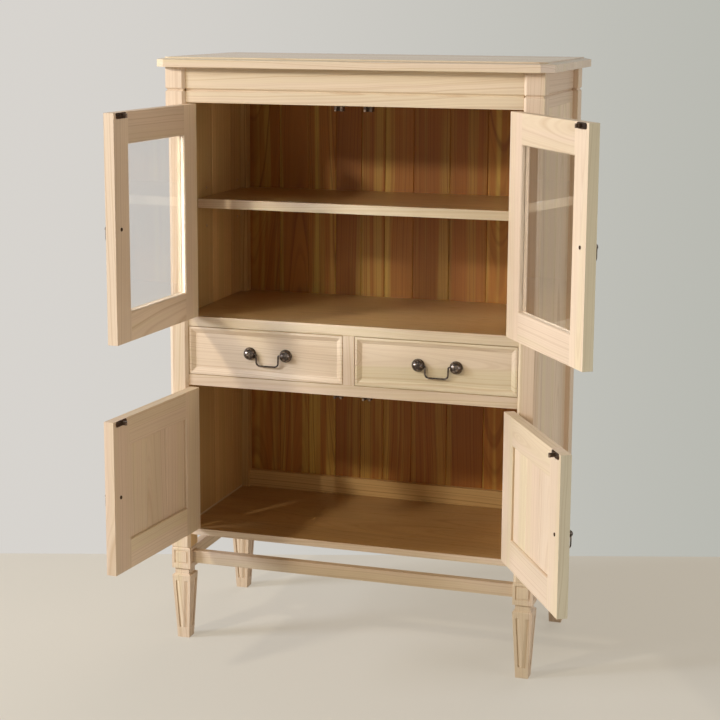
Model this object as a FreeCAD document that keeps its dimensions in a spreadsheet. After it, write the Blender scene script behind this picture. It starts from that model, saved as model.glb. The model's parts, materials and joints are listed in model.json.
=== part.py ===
import FreeCAD, Part
import Sketcher
import math
import os

os.makedirs("parts", exist_ok=True)
doc = FreeCAD.newDocument("TallCabinet")
sheet = doc.addObject("Spreadsheet::Sheet", "sizes")

# All lengths in millimetres, all angles in degrees.
SIZES = [
    ("carcass_width", 800, "over the outer faces of the posts"),
    ("carcass_depth", 395, "over the front and back faces of the posts"),
    ("post_size", 42.5, "side of a post's square section"),
    ("foot_size", 27, "side of the square sole under each leg"),
    ("taper_top", 144, "height where the leg's taper begins"),
    ("cap_slope", 3, "height of the slope between taper and neck"),
    ("neck_depth", 5, "inset of the neck from the post's faces"),
    ("neck_height", 12.5, "height of the neck above that slope"),
    ("neck_step", 0.6, "height of the small slope above the neck"),
    ("ring_rise", 9, "fine ring groove round each post above the stretchers' top"),
    ("ring_half", 1.8, "half width and depth of the fine ring groove"),
    ("band_rise", 26.35, "V groove round posts and friezes above the friezes' underside"),
    ("band_half", 3.75, "half width and depth of that V groove"),
    ("outer_chamfer", 8.5, "stopped chamfer on a front post's outer corner"),
    ("outer_chamfer_start", 15, "stopped chamfer's beginning above the ring groove"),
    ("outer_chamfer_stop", 19.4, "stopped chamfer's end below the friezes"),
    ("inner_chamfer", 6, "chamfer on a front post's inner corner"),
    ("block_groove_lift", 11.5, "routed frame on the leg block above the neck"),
    ("block_groove_drop", 6.5, "routed frame below the ring groove"),
    ("block_groove_inset", 5.8, "outer edge of the routed frame from the face's edge"),
    ("block_groove_width", 2.8, "width of the routed frame's groove"),
    ("block_groove_depth", 1.6, "depth of the routed frame's groove"),
    ("flute_bottom", 23.5, "lower end of the leg's long grooves"),
    ("flute_stop", 13, "long grooves' upper end below the top of the taper"),
    ("flute_inset", 6.8, "long groove's steep wall from the face's edge"),
    ("flute_slope", 8, "width of a long groove's slope"),
    ("flute_depth", 2.4, "depth of a long groove at its steep wall"),
    ("flute_ridge", 0.4, "half width left between two long grooves"),
    ("top_thickness", 15.4, "thickness of the top board at its edge"),
    ("top_slope_rise", 3, "rise of the moulded margin"),
    ("top_field_rise", 2, "upright step round the raised field"),
    ("top_front_overhang", 22.8, "top board past the posts at the front"),
    ("top_side_overhang", 19.1, "top board past the posts at each side"),
    ("top_corner_clip", 24, "leg of the clipped front corners"),
    ("top_field_inset", 16, "raised field from the board's edge"),
    ("top_field_clip", 14, "leg of the field's clipped corners"),
    ("frieze_height", 73.3, "height of the friezes under the top board"),
    ("front_setback", 6.5, "front rails and boards behind the posts' front"),
    ("side_setback", 10.7, "side walls behind the posts' outer faces"),
    ("side_thickness", 16, "thickness of the side walls"),
    ("side_rail_drop", 16, "low side rails below the floor board's underside"),
    ("side_rail_rise", 4.5, "low side rails above the floor board's top"),
    ("joint_half", 1.4, "half width and depth of the V between two boards"),
    ("back_inset", 10, "back boards in front of the posts' back"),
    ("back_thickness", 9, "thickness of the back boards"),
    ("back_rail_thickness", 14, "thickness of the two back rails"),
    ("low_back_rail_height", 39.5, "height of the low back rail above the floor board"),
    ("upper_room", 449.9, "height from the deck board's top to the friezes' underside"),
    ("deck_thickness", 21.5, "thickness of the deck board under the upper room"),
    ("drawer_opening", 104.5, "height of the drawer openings under the deck board"),
    ("drawer_rail_thickness", 23.5, "thickness of the rail under the drawers"),
    ("divider_width", 25, "width of the upright between the drawers"),
    ("runner_thickness", 18, "thickness of the drawer runners"),
    ("runner_width", 43, "width of a drawer runner"),
    ("guide_height", 26, "height of the drawer guides above the runners"),
    ("lower_room", 317.5, "height from the floor board's top to the rail under the drawers"),
    ("floor_lift", 40, "floor board above the stretchers"),
    ("floor_thickness", 14.5, "thickness of the floor board"),
    ("stretcher_lift", 11.5, "stretchers above the legs' necks"),
    ("stretcher_height", 27, "height of the stretchers"),
    ("stretcher_thickness", 18, "thickness of the stretchers"),
    ("stretcher_setback", 15, "stretchers behind the posts' outer faces"),
    ("shelf_share", 0.5323, "shelf's height as a share of the upper room's height"),
    ("shelf_thickness", 20, "thickness of the adjustable shelf"),
    ("shelf_front", 100, "shelf's front edge behind the posts' front"),
    ("shelf_gap", 1, "air at the shelf's ends and back"),
    ("peg_radius", 3, "radius of a shelf peg"),
    ("peg_length", 16, "length of a shelf peg"),
    ("peg_fit", 0.05, "radial air of a peg in its hole"),
    ("peg_hole_depth", 8.4, "depth of a shelf peg's hole"),
    ("peg_pitch", 41.5, "distance between rows of peg holes"),
    ("peg_front_inset", 110, "front pegs behind the front posts"),
    ("peg_back_inset", 18, "back pegs in front of the back posts"),
    ("pin_setback", 1.3, "door pins behind the posts' front"),
    ("door_face", 5.6, "door's outer face behind its pins, door closed"),
    ("door_thickness", 21.1, "thickness of the door frames"),
    ("door_gap", 1.2, "air between a door's hinge edge and its post"),
    ("door_centre_gap", 4, "air between the two doors of a pair"),
    ("upper_door_sill", 1.8, "air under the upper doors"),
    ("upper_door_head", 1.7, "air above the upper doors"),
    ("lower_door_sill", 4.1, "air under the lower doors"),
    ("lower_door_head", 2, "air above the lower doors"),
    ("upper_hinge_stile", 56.5, "width of an upper door's hinge stile"),
    ("upper_free_stile", 58.5, "width of an upper door's free stile"),
    ("upper_top_rail", 61.7, "height of an upper door's top rail"),
    ("upper_bottom_rail", 59, "height of an upper door's bottom rail"),
    ("lower_hinge_stile", 59, "width of a lower door's hinge stile"),
    ("lower_free_stile", 61, "width of a lower door's free stile"),
    ("lower_top_rail", 58, "height of a lower door's top rail"),
    ("lower_bottom_rail", 60, "height of a lower door's bottom rail"),
    ("upper_left_angle", 93.2, "opening angle of the upper left door at rest"),
    ("upper_right_angle", 125.4, "opening angle of the upper right door at rest"),
    ("lower_left_angle", 95.3, "opening angle of the lower left door at rest"),
    ("lower_right_angle", 119.7, "opening angle of the lower right door at rest"),
    ("arris", 2.2, "chamfer round the door openings"),
    ("pane_lap", 7, "panes and panels let into the frame"),
    ("pane_thickness", 4, "thickness of the glass"),
    ("panel_thickness", 9, "thickness of the lower doors' panel boards"),
    ("hinge_inset", 58, "hinge leaf from the door's upper or lower edge"),
    ("hinge_length", 50, "length of a hinge"),
    ("leaf_width", 21, "hinge leaf behind its pin"),
    ("leaf_thickness", 1.2, "thickness of a hinge leaf"),
    ("mortise_depth", 0.75, "hinge leaf let into the wood"),
    ("knuckle_radius", 3, "radius of a hinge knuckle"),
    ("knuckle_clear", 0.4, "hinge plate's edge past the knuckle"),
    ("knuckle_share", 0.3, "share of the hinge's length of each end knuckle"),
    ("knuckle_gap", 0.3, "air between two knuckles"),
    ("hinge_pin_radius", 1.3, "radius of a hinge pin"),
    ("hinge_pin_fit", 0.08, "radial air of a pin in its knuckle"),
    ("strike_length", 42, "length of a strike plate"),
    ("strike_height", 12, "height of a strike plate"),
    ("strike_thickness", 1, "thickness of a strike plate"),
    ("strike_inset", 8.5, "strike plate from the door's free edge"),
    ("strike_screw_radius", 2.4, "radius of a strike's screw head"),
    ("strike_screw_rise", 0.4, "rise of a strike's screw head"),
    ("spear_length", 14, "strike's spear past the door's inner face"),
    ("spear_height", 8, "height of the spear"),
    ("spear_neck", 2.4, "thickness of the spear's neck"),
    ("spear_head", 2.6, "radius of the spear's head"),
    ("catch_gap", 0.6, "air between a catch and the strike plate"),
    ("catch_width", 18, "width of a double ball catch"),
    ("catch_mouth", 9, "width of the mouth between a catch's cheeks"),
    ("catch_back", 2, "thickness of a catch's back and top"),
    ("catch_clear", 1.6, "air behind the spear's head"),
    ("catch_drop", 12.5, "catch below the frieze or drawer rail"),
    ("catch_mount", 22, "height of the upper catches' mount"),
    ("ball_radius", 2.6, "radius of a catch's ball"),
    ("ball_rise", 1, "ball's reach into the mouth"),
    ("ball_clear", 0.2, "air between a ball and the spear's head"),
    ("knob_inset", 23.5, "door pull from the door's free edge"),
    ("knob_radius", 7, "radius of a door pull's ball"),
    ("rose_radius", 7.8, "radius of the rose under a door pull"),
    ("rose_thickness", 1.5, "thickness of that rose"),
    ("bolt_radius", 2, "radius of the bolts through door and drawer fronts"),
    ("bolt_fit", 0.06, "radial air round a bolt"),
    ("bolt_head_radius", 3.6, "radius of a bolt's head on the inner face"),
    ("bolt_head_rise", 1.2, "rise of a bolt's head"),
    ("ring_wire", 1.35, "radius of a door ring's wire"),
    ("ring_fit", 0.08, "radial air of a ring or bail in its hole"),
    ("ring_side_air", 1.65, "air between a door ring and the pull's ball"),
    ("ring_drop", 25.6, "door ring's centre line below its hole"),
    ("ring_shoulder", 2.8, "bend radius at the ring's upper corners"),
    ("ring_flat", 0.7, "straight wire each side of the ring's lowest point"),
    ("drawer_gap", 1.2, "air round a drawer front"),
    ("drawer_front_thickness", 20, "thickness of a drawer front"),
    ("drawer_border", 4.5, "flat border of a drawer front"),
    ("drawer_bevel", 9, "width of the bevel inside that border"),
    ("drawer_sink", 5.5, "depth of the sunk field"),
    ("drawer_side_thickness", 10, "thickness of drawer sides and back"),
    ("drawer_side_clear", 20.5, "drawer sides and back lower than the drawer opening"),
    ("drawer_back_space", 39.5, "air between a closed drawer and the back boards"),
    ("drawer_lift", 0.5, "air between drawer sides and runners"),
    ("drawer_side_gap", 1.8, "air between drawer sides and guides"),
    ("drawer_bottom_lift", 6, "drawer bottom above the sides' lower edge"),
    ("drawer_bottom_thickness", 4, "thickness of a drawer bottom"),
    ("pull_spacing", 80, "distance between the two domes of a bail pull"),
    ("pull_drop", 0.2, "bail pulls below the middle of the drawer front"),
    ("left_pull_offset", 5.1, "left pull's middle right of its drawer's middle"),
    ("right_pull_offset", 3.2, "right pull's middle right of its drawer's middle"),
    ("plate_radius", 13.6, "radius of the plate under a dome"),
    ("plate_thickness", 2, "thickness of that plate"),
    ("dome_radius", 13, "radius of a dome"),
    ("bail_rise", 3, "bail's axis above the dome's plate"),
    ("bail_wire", 1.9, "radius of a bail's wire"),
    ("bail_end", 5.6, "length of the bail's end inside its dome"),
    ("bail_end_air", 0.4, "air past the bail's end in its hole"),
    ("bail_neck", 2.6, "straight part of the bail outside the dome"),
    ("bail_drop", 24.5, "bail's lower bar below its axis"),
    ("bail_bar_half", 24.2, "half length of the bail's lower bar"),
    ("bail_bend", 2.4, "bend radius at the bail's upper corners"),
    ("bail_bow", 8.5, "bend radius at the bail's lower corners"),
]
LEFT_SIDE_SHARES = (0.13, 0.469, 0.815)
RIGHT_SIDE_SHARES = (0.092, 0.544, 0.93)
BACK_SHARES = (0.101, 0.199, 0.29, 0.375, 0.452, 0.545, 0.6615, 0.781, 0.892)
PANEL_SHARES = (0.33, 0.66)

for row, (alias, number, note) in enumerate(SIZES, start=1):
    sheet.set(f"A{row}", alias)
    sheet.set(f"B{row}", str(number))
    sheet.set(f"C{row}", note)
    sheet.setAlias(f"B{row}", alias)
doc.recompute()

# Lines and planes that several pieces share, measured from the middle of the
# carcass (across), from the posts' front (depth) and from the floor (height).
HALF = "(sizes.carcass_width / 2)"
POST_HALF = "(sizes.post_size / 2)"
POST_IN = "(sizes.carcass_width / 2 - sizes.post_size)"
BACK_POST = "(sizes.carcass_depth - sizes.post_size)"
SIDE_OUT = "(sizes.carcass_width / 2 - sizes.side_setback)"
SIDE_IN = f"({SIDE_OUT} - sizes.side_thickness)"
BOARDS_BACK = "(sizes.carcass_depth - sizes.back_inset)"
BOARDS_FRONT = f"({BOARDS_BACK} - sizes.back_thickness)"
BACK_RAIL = f"({BOARDS_FRONT} - sizes.back_rail_thickness)"
NECK_LOW = "(sizes.taper_top + sizes.cap_slope)"
NECK_TOP = f"({NECK_LOW} + sizes.neck_height)"
STRETCHER_UNDER = f"({NECK_TOP} + sizes.stretcher_lift)"
STRETCHER_TOP = f"({STRETCHER_UNDER} + sizes.stretcher_height)"
RING = f"({STRETCHER_TOP} + sizes.ring_rise)"
FLOOR_UNDER = f"({STRETCHER_TOP} + sizes.floor_lift)"
FLOOR_TOP = f"({FLOOR_UNDER} + sizes.floor_thickness)"
RAIL_UNDER = f"({FLOOR_TOP} + sizes.lower_room)"
RAIL_TOP = f"({RAIL_UNDER} + sizes.drawer_rail_thickness)"
DECK_UNDER = f"({RAIL_TOP} + sizes.drawer_opening)"
DECK_TOP = f"({DECK_UNDER} + sizes.deck_thickness)"
FRIEZE_UNDER = f"({DECK_TOP} + sizes.upper_room)"
TOP_UNDER = f"({FRIEZE_UNDER} + sizes.frieze_height)"
BAND = f"({FRIEZE_UNDER} + sizes.band_rise)"
SHELF_UNDER = f"({DECK_TOP} + sizes.upper_room * sizes.shelf_share - sizes.shelf_thickness)"
SIDE_RAIL = (f"{FLOOR_UNDER} - sizes.side_rail_drop", f"({FLOOR_TOP} + sizes.side_rail_rise)")
DOOR_BOTTOM = {
    "upper": f"({DECK_TOP} + sizes.upper_door_sill)",
    "lower": f"({FLOOR_TOP} + sizes.lower_door_sill)",
}
DOOR_TOP = {
    "upper": f"({FRIEZE_UNDER} - sizes.upper_door_head)",
    "lower": f"({RAIL_UNDER} - sizes.lower_door_head)",
}
DOOR_TALL = {level: f"({DOOR_TOP[level]} - {DOOR_BOTTOM[level]})" for level in DOOR_TOP}
LEAF = f"({POST_IN} - sizes.door_centre_gap / 2)"
DOOR_IN = "(sizes.door_face + sizes.door_thickness)"
CATCH_FRONT = f"(sizes.pin_setback + {DOOR_IN} + sizes.strike_thickness + sizes.catch_gap)"
TOP_HALF = "(sizes.carcass_width / 2 + sizes.top_side_overhang)"


def reach(angle):
    """How far a leaf's outer free corner stands out past its pin."""
    return f"(-({LEAF} * cos(sizes.{angle} * 1deg) + sizes.door_face * sin(sizes.{angle} * 1deg)))"


def advance(angle, face):
    """How far a leaf's free corner stands in front of its pin."""
    return f"({LEAF} * sin(sizes.{angle} * 1deg) - {face} * cos(sizes.{angle} * 1deg))"


LEFT_END = "max(" + "; ".join(
    [TOP_HALF] + [f"{POST_IN} + {reach(name)}" for name in ("upper_left_angle", "lower_left_angle")]
) + ")"
RIGHT_END = "max(" + "; ".join(
    [TOP_HALF] + [f"{POST_IN} + {reach(name)}" for name in ("upper_right_angle", "lower_right_angle")]
) + ")"
FRONT_END = "max(" + "; ".join(
    ["sizes.top_front_overhang"]
    + [
        f"{advance(name, DOOR_IN)} - sizes.pin_setback"
        for name in ("upper_left_angle", "lower_left_angle", "upper_right_angle", "lower_right_angle")
    ]
) + ")"
CENTRE_X = f"(({RIGHT_END} - {LEFT_END}) / 2)"
CENTRE_Y = f"((sizes.carcass_depth - {FRONT_END}) / 2)"

ALONG = {
    "x": FreeCAD.Rotation(FreeCAD.Vector(0, 1, 0), 90),
    "y": FreeCAD.Rotation(FreeCAD.Vector(1, 0, 0), -90),
    "z": FreeCAD.Rotation(),
}
NODES = []


def value(expression):
    """Number that an expression has with the sheet's present sizes."""
    return float(sheet.evalExpression(expression))


def base(item, x="0", y="0", z="0"):
    """Binds an object's position inside its own assembly."""
    for axis, expression in zip("xyz", (x, y, z)):
        item.setExpression(f"Placement.Base.{axis}", expression)
    return item


def node(item, label, x="0", y="0", z="0"):
    """Makes an object a node and puts it into the shared frame."""
    item.Label = label
    base(item, f"({x}) - {CENTRE_X}", f"({y}) - {CENTRE_Y}", z)
    NODES.append(item)
    return item


def box(name, x, y, z):
    """Box between three pairs of coordinates."""
    item = doc.addObject("Part::Box", name)
    for prop, (low, high) in zip(("Length", "Width", "Height"), (x, y, z)):
        item.setExpression(prop, f"({high}) - ({low})")
    return base(item, x[0], y[0], z[0])


def cylinder(name, radius, axis, start, length):
    """Cylinder from a start point along an axis."""
    item = doc.addObject("Part::Cylinder", name)
    item.Placement = FreeCAD.Placement(FreeCAD.Vector(), ALONG[axis])
    item.setExpression("Radius", radius)
    item.setExpression("Height", length)
    return base(item, *start)


def vee(name, half, axis, start, length):
    """Square bar set on its edge, the cutter for V grooves and chamfers."""
    item = doc.addObject("Part::Prism", name)
    item.Polygon = 4
    item.Placement = FreeCAD.Placement(FreeCAD.Vector(), ALONG[axis])
    item.setExpression("Circumradius", half)
    item.setExpression("Height", length)
    return base(item, *start)


def frustum(name, near, far):
    """Four-sided frustum between two rectangles at two depths."""
    item = doc.addObject("Part::Wedge", name)
    for prefix, (depth, x, z) in (("", near), ("2", far)):
        item.setExpression("Ymax" if prefix else "Ymin", depth)
        for letter, pair in (("X", x), ("Z", z)):
            for bound, expression in zip(("min", "max"), pair):
                item.setExpression(f"{letter}{prefix}{bound}", expression)
    return item


def group(name, items):
    """Separate solids kept together in one object."""
    item = doc.addObject("Part::Compound", name)
    item.Links = items
    return item


def joined(name, items):
    """Solids fused into one."""
    item = doc.addObject("Part::MultiFuse", name)
    item.Shapes = items
    item.Refine = True
    return item


def cut(name, stock, tools):
    """Stock less all the tools."""
    item = doc.addObject("Part::Cut", name)
    item.Base = stock
    item.Tool = tools[0] if len(tools) == 1 else group(f"{name}_tools", tools)
    return item


def sketch_on(body, name, role, outline, lift="0"):
    """Closed outline of straight lines, every corner bound to the sheet."""
    sketch = body.newObject("Sketcher::SketchObject", name)
    plane = next(item for item in body.Origin.OriginFeatures if item.Role == role)
    sketch.AttachmentSupport = (plane, [""])
    sketch.MapMode = "FlatFace"
    sketch.setExpression("AttachmentOffset.Base.z", lift)
    corners = [FreeCAD.Vector(value(across), value(up), 0) for across, up in outline]
    count = len(corners)
    for index, corner in enumerate(corners):
        sketch.addGeometry(Part.LineSegment(corner, corners[(index + 1) % count]), False)
    for index in range(count):
        sketch.addConstraint(Sketcher.Constraint("Coincident", index, 2, (index + 1) % count, 1))
    for index, pair in enumerate(outline):
        for kind, expression in zip(("DistanceX", "DistanceY"), pair):
            length = value(expression)
            bound = sketch.addConstraint(Sketcher.Constraint(kind, -1, 1, index, 1, length))
            sketch.setExpression(f"Constraints[{bound}]", expression)
    return sketch


def padded(name, outline, thickness):
    """Board with a straight-edged outline, padded upwards."""
    body = doc.addObject("PartDesign::Body", name)
    pad = body.newObject("PartDesign::Pad", f"{name}_pad")
    pad.Profile = sketch_on(body, f"{name}_outline", "XY_Plane", outline)
    pad.setExpression("Length", thickness)
    return body


def wire_path(points, bends, closed):
    """Line through points with an arc of the given radius at each bend."""
    arcs = {}
    vectors = [FreeCAD.Vector(*point) for point in points]
    count = len(vectors)
    starts = []
    ends = []
    for index, (corner, bend) in enumerate(zip(vectors, bends)):
        if bend == 0:
            starts.append(corner)
            ends.append(corner)
            continue
        back = (vectors[index - 1] - corner).normalize()
        ahead = (vectors[(index + 1) % count] - corner).normalize()
        middle = (back + ahead).normalize()
        half = back.getAngle(ahead) / 2
        run = bend / math.tan(half)
        starts.append(corner + back * run)
        ends.append(corner + ahead * run)
        crown = corner + middle * (bend / math.sin(half) - bend)
        arcs[index] = Part.Arc(starts[-1], crown, ends[-1]).toShape()
    path = []
    for index in range(count):
        if index in arcs:
            path.append(arcs[index])
        if index + 1 < count or closed:
            after = starts[(index + 1) % count]
            if not after.isEqual(ends[index], Part.Precision.confusion()):
                path.append(Part.LineSegment(ends[index], after).toShape())
    return Part.Wire(Part.sortEdges(path)[0])


def wire_solid(points, bends, radius, closed=False):
    """Round wire bent along a path."""
    path = wire_path(points, bends, closed)
    edge = path.OrderedEdges[0]
    start = edge.valueAt(edge.FirstParameter)
    heading = edge.tangentAt(edge.FirstParameter)
    section = Part.Wire(Part.makeCircle(radius, start, heading))
    return path.makePipeShell([section], True, False)


def fixed_shape(name, shape):
    """Object for a form that no primitive or sketch gives."""
    item = doc.addObject("Part::Feature", name)
    item.Shape = shape
    return item


# Posts with their legs: one stack of square sections, less the routed lines.
def square(name, half, height):
    section = doc.addObject("Part::RegularPolygon", name)
    section.Polygon = 4
    section.Placement = FreeCAD.Placement(
        FreeCAD.Vector(), FreeCAD.Rotation(FreeCAD.Vector(0, 0, 1), 45)
    )
    section.setExpression("Circumradius", f"{half} * sqrt(2)")
    return base(section, z=height)


def ring_levels(height, half):
    """Three levels of a V groove running round a post."""
    return [
        (POST_HALF, f"{height} - {half}"),
        (f"({POST_HALF} - {half})", height),
        (POST_HALF, f"{height} + {half}"),
    ]


NECK_HALF = f"({POST_HALF} - sizes.neck_depth)"
LEVELS = [
    ("(sizes.foot_size / 2)", "0"),
    (POST_HALF, "sizes.taper_top"),
    (NECK_HALF, NECK_LOW),
    (NECK_HALF, NECK_TOP),
    (POST_HALF, f"{NECK_TOP} + sizes.neck_step"),
    *ring_levels(RING, "sizes.ring_half"),
    *ring_levels(BAND, "sizes.band_half"),
    (POST_HALF, TOP_UNDER),
]
post_stack = doc.addObject("Part::Loft", "post_stack")
post_stack.Sections = [
    square(f"post_level_{index}", half, height) for index, (half, height) in enumerate(LEVELS)
]
post_stack.Solid = True
post_stack.Ruled = True

BLOCK_OUTER = f"({POST_HALF} - sizes.block_groove_inset)"
BLOCK_INNER = f"({BLOCK_OUTER} - sizes.block_groove_width)"
BLOCK_CORE = f"({POST_HALF} - sizes.block_groove_depth)"


def block_bar(name, across, turn, drop="0"):
    """Square bar through the leg block, across it or through its depth."""
    span = (f"-{across}", across)
    through = (f"-{POST_HALF} - sizes.neck_depth", f"{POST_HALF} + sizes.neck_depth")
    height = (
        f"{NECK_TOP} + sizes.block_groove_lift + {drop}",
        f"{RING} - sizes.block_groove_drop - {drop}",
    )
    return box(name, through if turn else span, span if turn else through, height)


block_frames = []
for turn, way in enumerate(("depth", "across")):
    block_frames.append(
        cut(
            f"block_frame_{way}",
            block_bar(f"block_bar_{way}", BLOCK_OUTER, turn),
            [
                block_bar(f"block_field_{way}", BLOCK_INNER, turn, "sizes.block_groove_width"),
                box(
                    f"block_core_{way}",
                    (f"-{BLOCK_CORE}", BLOCK_CORE),
                    (f"-{BLOCK_CORE}", BLOCK_CORE),
                    (NECK_TOP, RING),
                ),
            ],
        )
    )


def flute_section(height, side):
    """Four-cornered section of one long groove's cutter at a height."""
    foot = value("sizes.foot_size") / 2
    face = foot + (value(POST_HALF) - foot) * height / value("sizes.taper_top")
    wall = face - value("sizes.flute_inset")
    ridge = max(wall - value("sizes.flute_slope"), value("sizes.flute_ridge"))
    depth = value("sizes.flute_depth")
    corners = [(wall, -face - depth), (wall, -face + depth), (ridge, -face), (ridge, -face - depth)]
    points = [FreeCAD.Vector(side * across, into, height) for across, into in corners]
    return Part.makePolygon(points + points[:1])


FLUTE_ENDS = ("sizes.flute_bottom", "sizes.taper_top - sizes.flute_stop")
flutes = []
for side in (1, -1):
    ends = [flute_section(value(height), side) for height in FLUTE_ENDS]
    flute = Part.makeLoft(ends, True, True)
    for quarter in range(4):
        turned = flute.copy()
        turned.rotate(FreeCAD.Vector(), FreeCAD.Vector(0, 0, 1), 90 * quarter)
        flutes.append(turned)
leg_flutes = fixed_shape("leg_flutes", Part.makeCompound(flutes))

DOORS = [
    ("upper_left", 1, "upper"),
    ("upper_right", -1, "upper"),
    ("lower_left", 1, "lower"),
    ("lower_right", -1, "lower"),
]


def hinge_heights(level):
    """Lower ends of a door's two hinges above the floor."""
    return (
        f"({DOOR_BOTTOM[level]} + sizes.hinge_inset)",
        f"({DOOR_TOP[level]} - sizes.hinge_inset - sizes.hinge_length)",
    )


def flip(side, low, high):
    """Span from low to high, mirrored for the right-hand side."""
    return (low, high) if side > 0 else (f"-({high})", f"-({low})")


def upright_post(name, side, front):
    tools = [*block_frames, leg_flutes]
    if front:
        outer = f"-{POST_HALF}" if side > 0 else POST_HALF
        inner = POST_HALF if side > 0 else f"-{POST_HALF}"
        face = f"-{POST_HALF}"
        tools.append(
            vee(
                f"{name}_outer_chamfer",
                "sizes.outer_chamfer",
                "z",
                (outer, face, f"{RING} + sizes.outer_chamfer_start"),
                f"{FRIEZE_UNDER} - sizes.outer_chamfer_stop - {RING} - sizes.outer_chamfer_start",
            )
        )
        tools.append(
            vee(
                f"{name}_inner_chamfer",
                "sizes.inner_chamfer",
                "z",
                (inner, face, RING),
                f"{TOP_UNDER} + sizes.ring_half - {RING}",
            )
        )
        for level in ("upper", "lower"):
            for index, height in enumerate(hinge_heights(level)):
                tools.append(
                    box(
                        f"{name}_{level}_mortise_{index}",
                        flip(
                            side,
                            f"{POST_HALF} - sizes.mortise_depth",
                            f"{POST_HALF} + sizes.mortise_depth",
                        ),
                        (f"-{POST_HALF}", f"sizes.pin_setback + sizes.leaf_width - {POST_HALF}"),
                        (height, f"{height} + sizes.hinge_length"),
                    )
                )
    middle = f"{HALF} - {POST_HALF}"
    node(
        cut(name, post_stack, tools),
        name,
        f"-({middle})" if side > 0 else middle,
        POST_HALF if front else f"sizes.carcass_depth - {POST_HALF}",
    )


for depth_name, is_front in (("front", True), ("back", False)):
    for side_name, side in (("left", 1), ("right", -1)):
        upright_post(f"{depth_name}_{side_name}_post", side, is_front)

# Top board: square-edged slab, sloped margin and raised field.
TOP_WIDTH = f"(2 * {TOP_HALF})"
TOP_DEPTH = "(sizes.carcass_depth + sizes.top_front_overhang)"


def clipped(inset, clip):
    """Outline with both front corners clipped, from the board's own corner."""
    far = f"{TOP_WIDTH} - {inset}"
    return [
        (f"{inset} + {clip}", inset),
        (f"{far} - {clip}", inset),
        (far, f"{inset} + {clip}"),
        (far, TOP_DEPTH),
        (inset, TOP_DEPTH),
        (inset, f"{inset} + {clip}"),
    ]


top_board = padded("top_board", clipped("0", "sizes.top_corner_clip"), "sizes.top_thickness")
FIELD_LIFT = "sizes.top_thickness + sizes.top_slope_rise"
FIELD_OUTLINE = clipped("sizes.top_field_inset", "sizes.top_field_clip")
margin = top_board.newObject("PartDesign::AdditiveLoft", "top_margin")
margin.Profile = sketch_on(
    top_board,
    "top_margin_foot",
    "XY_Plane",
    clipped("0", "sizes.top_corner_clip"),
    "sizes.top_thickness",
)
margin.Sections = [
    sketch_on(top_board, "top_margin_head", "XY_Plane", FIELD_OUTLINE, FIELD_LIFT)
]
margin.Ruled = True
field = top_board.newObject("PartDesign::Pad", "top_field")
field.Profile = sketch_on(top_board, "top_field_outline", "XY_Plane", FIELD_OUTLINE, FIELD_LIFT)
field.setExpression("Length", "sizes.top_field_rise")
node(top_board, "top_board", f"-{TOP_HALF}", "-sizes.top_front_overhang", TOP_UNDER)

# Friezes under the top with the V band on their outer faces.
FRIEZE_HEIGHT = (FRIEZE_UNDER, TOP_UNDER)
front_frieze = cut(
    "front_frieze",
    box(
        "front_frieze_board",
        (f"-{POST_IN}", POST_IN),
        ("sizes.front_setback", CATCH_FRONT),
        FRIEZE_HEIGHT,
    ),
    [
        vee(
            "front_frieze_band",
            "sizes.band_half",
            "x",
            (f"-{HALF}", "sizes.front_setback", BAND),
            "sizes.carcass_width",
        )
    ],
)
node(front_frieze, "front_frieze")

side_friezes = []
for side_name, side in (("left", 1), ("right", -1)):
    side_friezes.append(
        cut(
            f"{side_name}_frieze",
            box(
                f"{side_name}_frieze_board",
                flip(side, f"-{SIDE_OUT}", f"-{SIDE_IN}"),
                ("sizes.post_size", BACK_POST),
                FRIEZE_HEIGHT,
            ),
            [
                vee(
                    f"{side_name}_frieze_band",
                    "sizes.band_half",
                    "y",
                    (f"-{SIDE_OUT}" if side > 0 else SIDE_OUT, "0", BAND),
                    "sizes.carcass_depth",
                )
            ],
        )
    )
node(group("side_friezes", side_friezes), "side_friezes")
node(
    box("top_back_rail", (f"-{POST_IN}", POST_IN), (BACK_RAIL, BOARDS_FRONT), FRIEZE_HEIGHT),
    "top_back_rail",
    f"-{POST_IN}",
    BACK_RAIL,
    FRIEZE_UNDER,
)


def boards(name, across, ends, shares, fixed, height, extra=()):
    """Upright boards side by side with a V at each joint on both faces."""
    low, high = ends
    marks = [low] + [f"({low} + ({high} - {low}) * {share})" for share in shares] + [high]
    bottom, top = height
    tools = list(extra)
    for index, mark in enumerate(marks[1:-1]):
        for face, plane in zip(("near", "far"), fixed):
            spot = (mark, plane) if across == "x" else (plane, mark)
            tools.append(
                vee(
                    f"{name}_joint_{index}_{face}",
                    "sizes.joint_half",
                    "z",
                    (*spot, f"{bottom} - sizes.joint_half"),
                    f"{top} - ({bottom}) + 2 * sizes.joint_half",
                )
            )
    pieces = []
    for index in range(len(marks) - 1):
        span = (marks[index], marks[index + 1])
        x, y = (span, fixed) if across == "x" else (fixed, span)
        pieces.append(cut(f"{name}_board_{index}", box(f"{name}_plank_{index}", x, y, height), tools))
    return group(name, pieces)


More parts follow.
